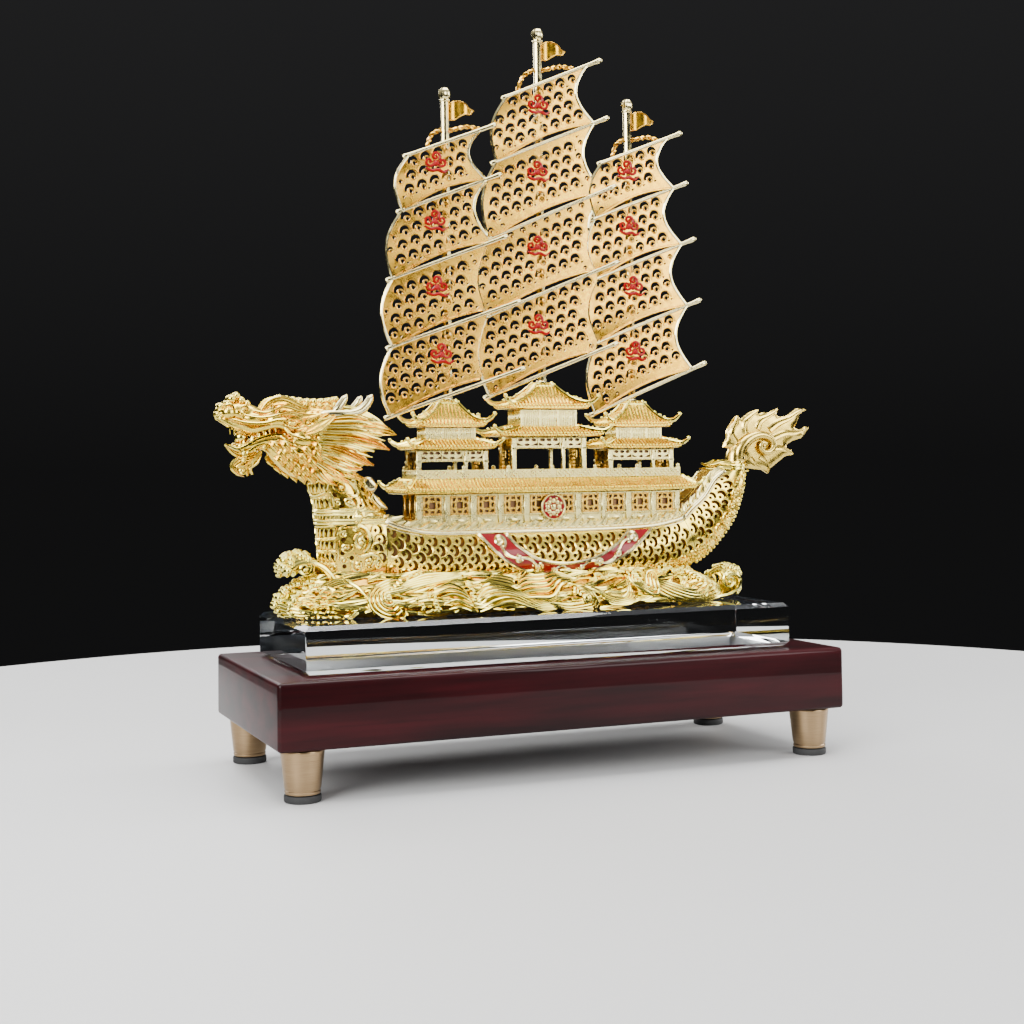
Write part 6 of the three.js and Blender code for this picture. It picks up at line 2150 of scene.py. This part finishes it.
def build_waves():
    """The mound with its ribs and foam, then the two crests, which draw on with the same dice."""
    bed, ribs, froth = Shells(), Shells(), Shells()
    angles = np.linspace(0, 2 * math.pi, 120, endpoint=False)
    rings = []
    middle = np.array([-6.5, 0, 0])
    for v in (0, 1.2, 3, 4.5, 6, 7.8, 9.6, 11.3, 13, 15, 17, 19, 20):
        ring = mound_at(angles, np.full(120, v))
        rings.append(middle + (ring - middle) * [0.992, 0.965, 1])
    loft(bed, rings)
    dice = np.random.default_rng(7)
    length = GIRTH[-1]
    # Background ribs that roll along the whole side.
    for j, v in enumerate(np.arange(1.4, 18.5, 2.3)):
        u = -6 + 5 * (j % 3)
        while u < length - 4:
            run = dice.uniform(16, 30)
            phase, swell = dice.uniform(0, 6.3), dice.uniform(0.8, 1.7)
            rows = []
            for t in np.linspace(0, 1, 6):
                wide = 1.5 * math.sin(math.pi * min(1, 0.12 + t)) + 0.15 if t < 0.88 else 0.3
                height = v + swell * math.sin(phase + 4.5 * t) + 1.6 * t
                rows.append((
                    np.clip(u + run * t, 0.2, length - 0.2), np.clip(height, 0.5, 19.5), max(wide, 0.2), 1.5,
                ))
            laid_strand(ribs, on_mound, rows, ridges=2, relief=0.3, count=15, span=7, lift=-0.2)
            u += run * 0.72
    place = on_mound_x

    def comb(lines, relief=0.25, lift=0.5, count=20):
        for rows in lines:
            laid_strand(ribs, place, rows, ridges=1, relief=relief, count=count, span=7, lift=lift)

    # Bow end: petals of foam, a knot of curls, then a patch of short stacked scallops.
    swirl(ribs, on_mound, 3.5, 6.4, 4.6, 4, 60, 240, [(11, 3.4), (18, 2.6)], 0.85, 1.8)
    foam(
        froth, on_mound, [(0.4, 3, 1.0), (1.6, 7, 1.6), (1, 11, 1.4), (4, 13.6, 1.2), (9, 14.6, 1.0)], 26,
        1.45, 3, 0.9,
    )
    foam(froth, on_mound, [(7.6, 2.4, 1.1), (8.6, 6, 1.5), (9.4, 9.6, 1.4), (13, 12.6, 1.2)], 22, 1.3, 4, 0.9)
    for j in range(6):
        for k in range(3):
            u, v = 12.4 + 4.6 * k + 0.5 * j, 1.6 + 1.75 * j
            laid_strand(ribs, on_mound, [
                (u - 2.3, v - 0.5, 0.3, 0.5), (u - 0.8, v + 0.25, 0.72, 1.5), (u + 0.9, v + 0.25, 0.72, 1.5),
                (u + 2.2, v - 0.5, 0.3, 0.5),
            ], ridges=1, relief=0.2, count=10, span=7, lift=0.7)
    comb([
        [
            (-99 + 1.5 * k, 12.4 - 0.2 * k, 0.4, 0.5), (-93 + 1.5 * k, 15.6 - 0.6 * k, 0.85, 1.4),
            (-86 + 1.4 * k, 14 - 0.9 * k, 0.8, 1.3), (-80.4 + 1.2 * k, 10.8 - k, 0.3, 0.4),
        ]
        for k in range(4)
    ])
    # Large swirl under the neck, with long ribs that sweep up and aft.
    swirl(ribs, place, -68.8, 7.6, 7.4, 5, -48, -262, [(-58, 12.4), (-49, 14.6), (-40, 16)], 0.98, 2.5)
    foam(
        froth, place, [(-57.6, 5.4, 0.9), (-54.4, 2.8, 1.4), (-50.6, 4, 1.2), (-52.6, 7.6, 0.8)], 24, 0.95, 8,
        1.1,
    )
    foam(froth, place, [(-64, 15.4, 0.6), (-57, 16.1, 0.8), (-50, 16.8, 0.5)], 16, 0.8, 9, 0.8)
    comb([
        [
            (-50 + 0.7 * k, 10.6 - 1.9 * k, 0.4, 0.5), (-45 + 0.6 * k, 11.4 - 1.9 * k, 0.9, 1.7),
            (-40 + 0.5 * k, 9.4 - 1.8 * k, 0.85, 1.5), (-37.4 + 0.2 * k, 6.2 - 1.1 * k, 0.25, 0.4),
        ]
        for k in range(5)
    ], lift=0.9)
    foam(froth, place, [(-37.4, 13, 0.8), (-35.6, 9.4, 1.2), (-36.4, 5.6, 0.9)], 14, 0.85, 10, 0.9)
    # Flowing strands, then the fluted lobe over its own small curl.
    comb([
        [
            (-36 + 0.5 * k, 1.2 + 1.3 * k, 0.35, 0.5), (-29, 3.4 + 1.5 * k, 1.0, 1.6),
            (-21, 4.6 + 1.0 * k, 0.95, 1.7), (-11, 1.4 + 0.7 * k, 0.8, 1.2), (-3, 0.9 + 0.45 * k, 0.25, 0.3),
        ]
        for k in range(6)
    ])
    comb([
        [
            (-33 + 2 * k, 12.4 + 0.6 * k, 0.3, 0.4), (-27 + k, 12.4 + 0.9 * k, 0.9, 1.2),
            (-20 + k, 10.4 + 1.1 * k, 0.8, 1.1), (-16, 8.8 + 1.1 * k, 0.25, 0.3),
        ]
        for k in range(4)
    ])
    comb([
        [
            (-16.2 + 0.6 * abs(k - 2), 8.6 + 1.5 * (k - 2), 0.5, 0.9),
            (-11.6, 9.2 + 1.9 * (k - 2), 1.15, 2.6), (-4, 9.4 + 1.9 * (k - 2), 1.15, 2.8),
            (3.6, 12.2 + 1.3 * (k - 2), 0.95, 2.0), (11, 12.4 + 0.5 * (k - 2), 0.25, 0.4),
        ]
        for k in range(5)
    ], relief=0.1, lift=0.7, count=26)
    swirl(ribs, place, 9.4, 4.4, 4.2, 4, 150, -250, [(0, 2), (-7, 3.4)], 0.75, 1.9)
    bead(froth, spot_on(place, 9.4, 4.4, 1.4), 2.1, (1, 0.8, 1), 3)
    comb([
        [
            (14.6 + 0.8 * k, 9.6 - 1.5 * k, 0.3, 0.5), (19, 5.2 - 0.7 * k, 0.85, 1.5),
            (26, 4.2 - 0.6 * k, 0.9, 1.5), (32 - 0.4 * k, 7.6 - 1.1 * k, 0.5, 0.8),
            (34 - k, 9.6 - 1.3 * k, 0.2, 0.3),
        ]
        for k in range(5)
    ], lift=0.7)
    foam(froth, place, [(20, 11, 0.8), (25, 12.6, 1.1), (31, 12, 0.8)], 15, 0.9, 12, 1.2)
    swirl(ribs, place, 40.5, 8.6, 4.6, 4, 60, 260, [(49, 12), (56, 14.4)], 0.8, 1.9)
    foam(froth, place, [(36, 13.6, 0.6), (42, 15, 0.9), (48, 14.8, 0.5)], 14, 0.85, 13, 0.9)
    # The cup of nested ribs near the stern, with a foam heap in it.
    for k in range(6):
        reach = 1 + 0.14 * k
        rows = [
            (62 - 12.6 * reach, 11.6 - 0.4 * k, 0.3, 0.5), (62 - 10 * reach, 7.6 - 0.8 * k, 0.85, 1.4),
            (62 - 1.5, 4.6 - 0.85 * k, 0.95, 1.7),
            (62 + 8.6 * reach, 7.2 - 0.9 * k, 0.9, 1.6), (62 + 12.4 * reach, 12.2 - 0.6 * k, 0.6, 1),
            (62 + 13.6 * reach, 15 - 0.3 * k, 0.2, 0.3),
        ]
        laid_strand(ribs, place, rows, ridges=1, relief=0.2, count=30, span=7, lift=0.9 - 0.06 * k)
    foam(froth, place, [(56, 13.4, 0.9), (61, 15, 1.5), (66, 14, 0.9)], 20, 1.05, 14, 1.2)
    foam(froth, place, [(74, 15.6, 0.7), (79, 14.6, 1.1), (83, 12, 0.9)], 18, 0.95, 15, 1.0)
    # Stern end.
    swirl(ribs, on_mound, length - 14, 7, 5.4, 5, 110, -250, [(length - 24, 4), (length - 32, 2.6)], 0.8, 1.9)
    foam(
        froth, on_mound, [(length - 19, 12.6, 0.9), (length - 13, 14, 1.2), (length - 7, 12.4, 0.9)], 20,
        0.95, 16, 1.0,
    )
    foam(
        froth, on_mound, [(length - 6, 4, 0.9), (length - 4, 8, 1.2), (length - 5, 11, 0.9)], 16, 0.9, 17,
        0.8,
    )
    # The bed's darker gold is painted shade between the ribs.
    make_piece("wave_bed", bed, DEEP_GOLD, ["wave_base"])
    make_piece("wave_ribs", ribs.on_both_sides(), WAVE_GOLD, ["wave_base"])
    make_piece("wave_foam", froth.on_both_sides(), BRIGHT_GOLD, ["wave_base"])
    build_crests(dice)


def build_crests(dice):
    # The ridge of each crest: x, z and half width of its ribs, up from its foot and over its hollow.
    for name, reach, hollow, ridge in (
        (
            "bow", 8.4, (-97.6, 78.6),
            [
                (-87.5, 73.4, 0.9), (-89.6, 77.4, 1.1), (-93, 81.4, 1.2), (-97.6, 83.4, 1.25),
                (-102, 82.6, 1.15), (-104.6, 80, 0.95), (-103.4, 77.6, 0.6),
            ],
        ),
        ("stern", 7.8, (84.6, 67), [
            (66, 64, 0.8), (73, 61.8, 1.1), (80, 61.2, 1.3), (86, 62.2, 1.4), (89.8, 65, 1.4),
            (91.2, 68.6, 1.3), (89.8, 71.8, 1.15), (86.8, 72.6, 0.9), (85, 71, 0.6),
        ]),
    ):
        crest, drops = Shells(), Shells()
        aft = 1 if name == "bow" else -1
        for k in range(11):
            y = (k - 5) / 5 * reach
            drop = 2.2 * (abs(k - 5) / 5) ** 2
            rows = [
                (x + aft * drop * 0.8, y, z - drop * max(0, z - hollow[1] + 5.6) / 10, wide, 1.1)
                for x, z, wide in ridge
            ]
            path = spline(rows, 26)
            normal = np.cross(along(path[:, :3]), [0, aft, 0])
            strand(crest, rows, normal, 1, 0.35, 26, 7, back=0.9)
        top = spline([(x, z, 0) for x, z, _ in ridge], 40)[:, :2]
        for k in range(54):
            t = dice.uniform(0.42, 0.98)
            x, z = top[int(t * 39)]
            y = dice.uniform(-reach - 0.4, reach + 0.4)
            drop = 2.2 * (abs(y) / reach) ** 2
            out = unit(np.array([x - hollow[0], z - hollow[1]]))
            spot = (x + out[0] * 0.9 + aft * drop * 0.6, y, z + out[1] * 1.1 - drop)
            bead(drops, spot, dice.uniform(0.9, 1.7))
        for y in SIDES:
            scroll(
                crest, (hollow[0], y * (reach + 0.2), hollow[1] + 0.4), 3.4, 1.4, 2.0, 0.75, (-aft, 0, 0), 8,
            )
        make_piece(f"{name}_crest_ribs", crest, WAVE_GOLD, [f"{name}_wave_crest"])
        make_piece(f"{name}_crest_foam", drops, BRIGHT_GOLD, [f"{name}_wave_crest"])


build_stand()
build_rig()
build_hull()
build_cabin()
build_balustrade()
for pavilion in PAVILIONS:
    build_pavilion(pavilion)
build_neck()
build_head()
build_tail()
build_waves()


# Camera, lights and floor

CAMERA = {"place": (-0.2506, -0.5832, 0.1165), "yaw": 22.45, "pitch": 2.39, "roll": -0.69}
# The photo's focal length, width and middle row, all in pixels.
PHOTO = {"focal": 1572, "width": 1024, "middle_v": 400}
FLOOR_RADIUS = 450


def build_camera():
    yaw, pitch, roll = (math.radians(CAMERA[name]) for name in ("yaw", "pitch", "roll"))
    level = np.array([math.sin(yaw), math.cos(yaw), 0])
    right = np.array([math.cos(yaw), -math.sin(yaw), 0])
    up = np.array([0, 0, 1])
    forward = level * math.cos(pitch) + up * math.sin(pitch)
    above = -level * math.sin(pitch) + up * math.cos(pitch)
    right, above = (
        right * math.cos(roll) + above * math.sin(roll),
        -right * math.sin(roll) + above * math.cos(roll),
    )
    data = bpy.data.cameras.new("photo_camera")
    camera = bpy.data.objects.new("photo_camera", data)
    bpy.context.scene.collection.objects.link(camera)
    turn = Matrix([[right[i], above[i], -forward[i]] for i in range(3)]).to_4x4()
    camera.matrix_world = Matrix.Translation(CAMERA["place"]) @ turn
    data.sensor_width = 36
    data.lens = PHOTO["focal"] / PHOTO["width"] * data.sensor_width
    data.shift_y = (PHOTO["middle_v"] - PHOTO["width"] / 2) / PHOTO["width"]
    data.clip_start = 0.01
    bpy.context.scene.camera = camera


def add_softbox(name, place, target, size, power):
    data = bpy.data.lights.new(name, "AREA")
    data.shape = "RECTANGLE"
    data.size, data.size_y = size
    data.energy = power
    light = bpy.data.objects.new(name, data)
    bpy.context.scene.collection.objects.link(light)
    light.location = place
    light.rotation_euler = (Vector(target) - Vector(place)).to_track_quat("-Z", "Y").to_euler()
    light.visible_camera = False


def build_floor():
    """A round pale table top with a soft rim."""
    top = Shells()
    r = FLOOR_RADIUS
    profile = [(0.5, -12), (r - 6, -12), (r - 1.5, -10), (r, -6), (r - 1.5, -2), (r - 6, 0), (0.5, 0)]
    lathe(top, profile, 0, 0, 160)
    material, nodes = new_material("pale_floor")
    nodes.shade({
        "Base Color": nodes.mix(nodes.noise(3, 3), (0.50, 0.50, 0.495), (0.54, 0.54, 0.535)),
        "Roughness": 0.55,
    })
    floor = bpy.data.objects.new("studio_floor", make_mesh("studio_floor", top, 30))
    bpy.context.scene.collection.objects.link(floor)
    floor.data.materials.append(material)


def build_world():
    """A dark plain room, brighter overhead."""
    world = bpy.data.worlds.new("studio")
    bpy.context.scene.world = world
    world.use_nodes = True
    nodes = Nodes(world.node_tree)
    split = nodes.add("ShaderNodeSeparateXYZ", {"Vector": nodes.where.outputs["Generated"]})
    ramp = nodes.add("ShaderNodeValToRGB", {"Fac": nodes.remap(split.outputs["Z"], 0.0, 1.0, -1.0, 1.0)})
    stops = [(0.0, 0.006), (0.5, 0.008), (0.66, 0.02), (0.80, 0.35), (1.0, 0.9)]
    elements = ramp.color_ramp.elements
    while len(elements) < len(stops):
        elements.new(0.5)
    for element, (position, level) in zip(elements, stops):
        element.position = position
        element.color = (level, level, level * 1.03, 1)
    nodes.feed(world.node_tree.nodes["Background"], {"Color": ramp.outputs["Color"]})


build_camera()
build_floor()
build_world()
TARGET = (0, 0, 0.15)
add_softbox("key_left", (-1.1, -0.75, 0.75), TARGET, (0.8, 0.9), 36)
add_softbox("front_right", (0.75, -1.15, 0.55), TARGET, (0.7, 0.8), 14)
add_softbox("fill_right", (1.3, 0.1, 0.5), TARGET, (0.5, 0.9), 15)
add_softbox("overhead", (0.0, 0.0, 1.3), TARGET, (1.2, 0.8), 28)
add_softbox("rim_back", (-0.3, 1.2, 0.8), TARGET, (1.0, 0.5), 16)
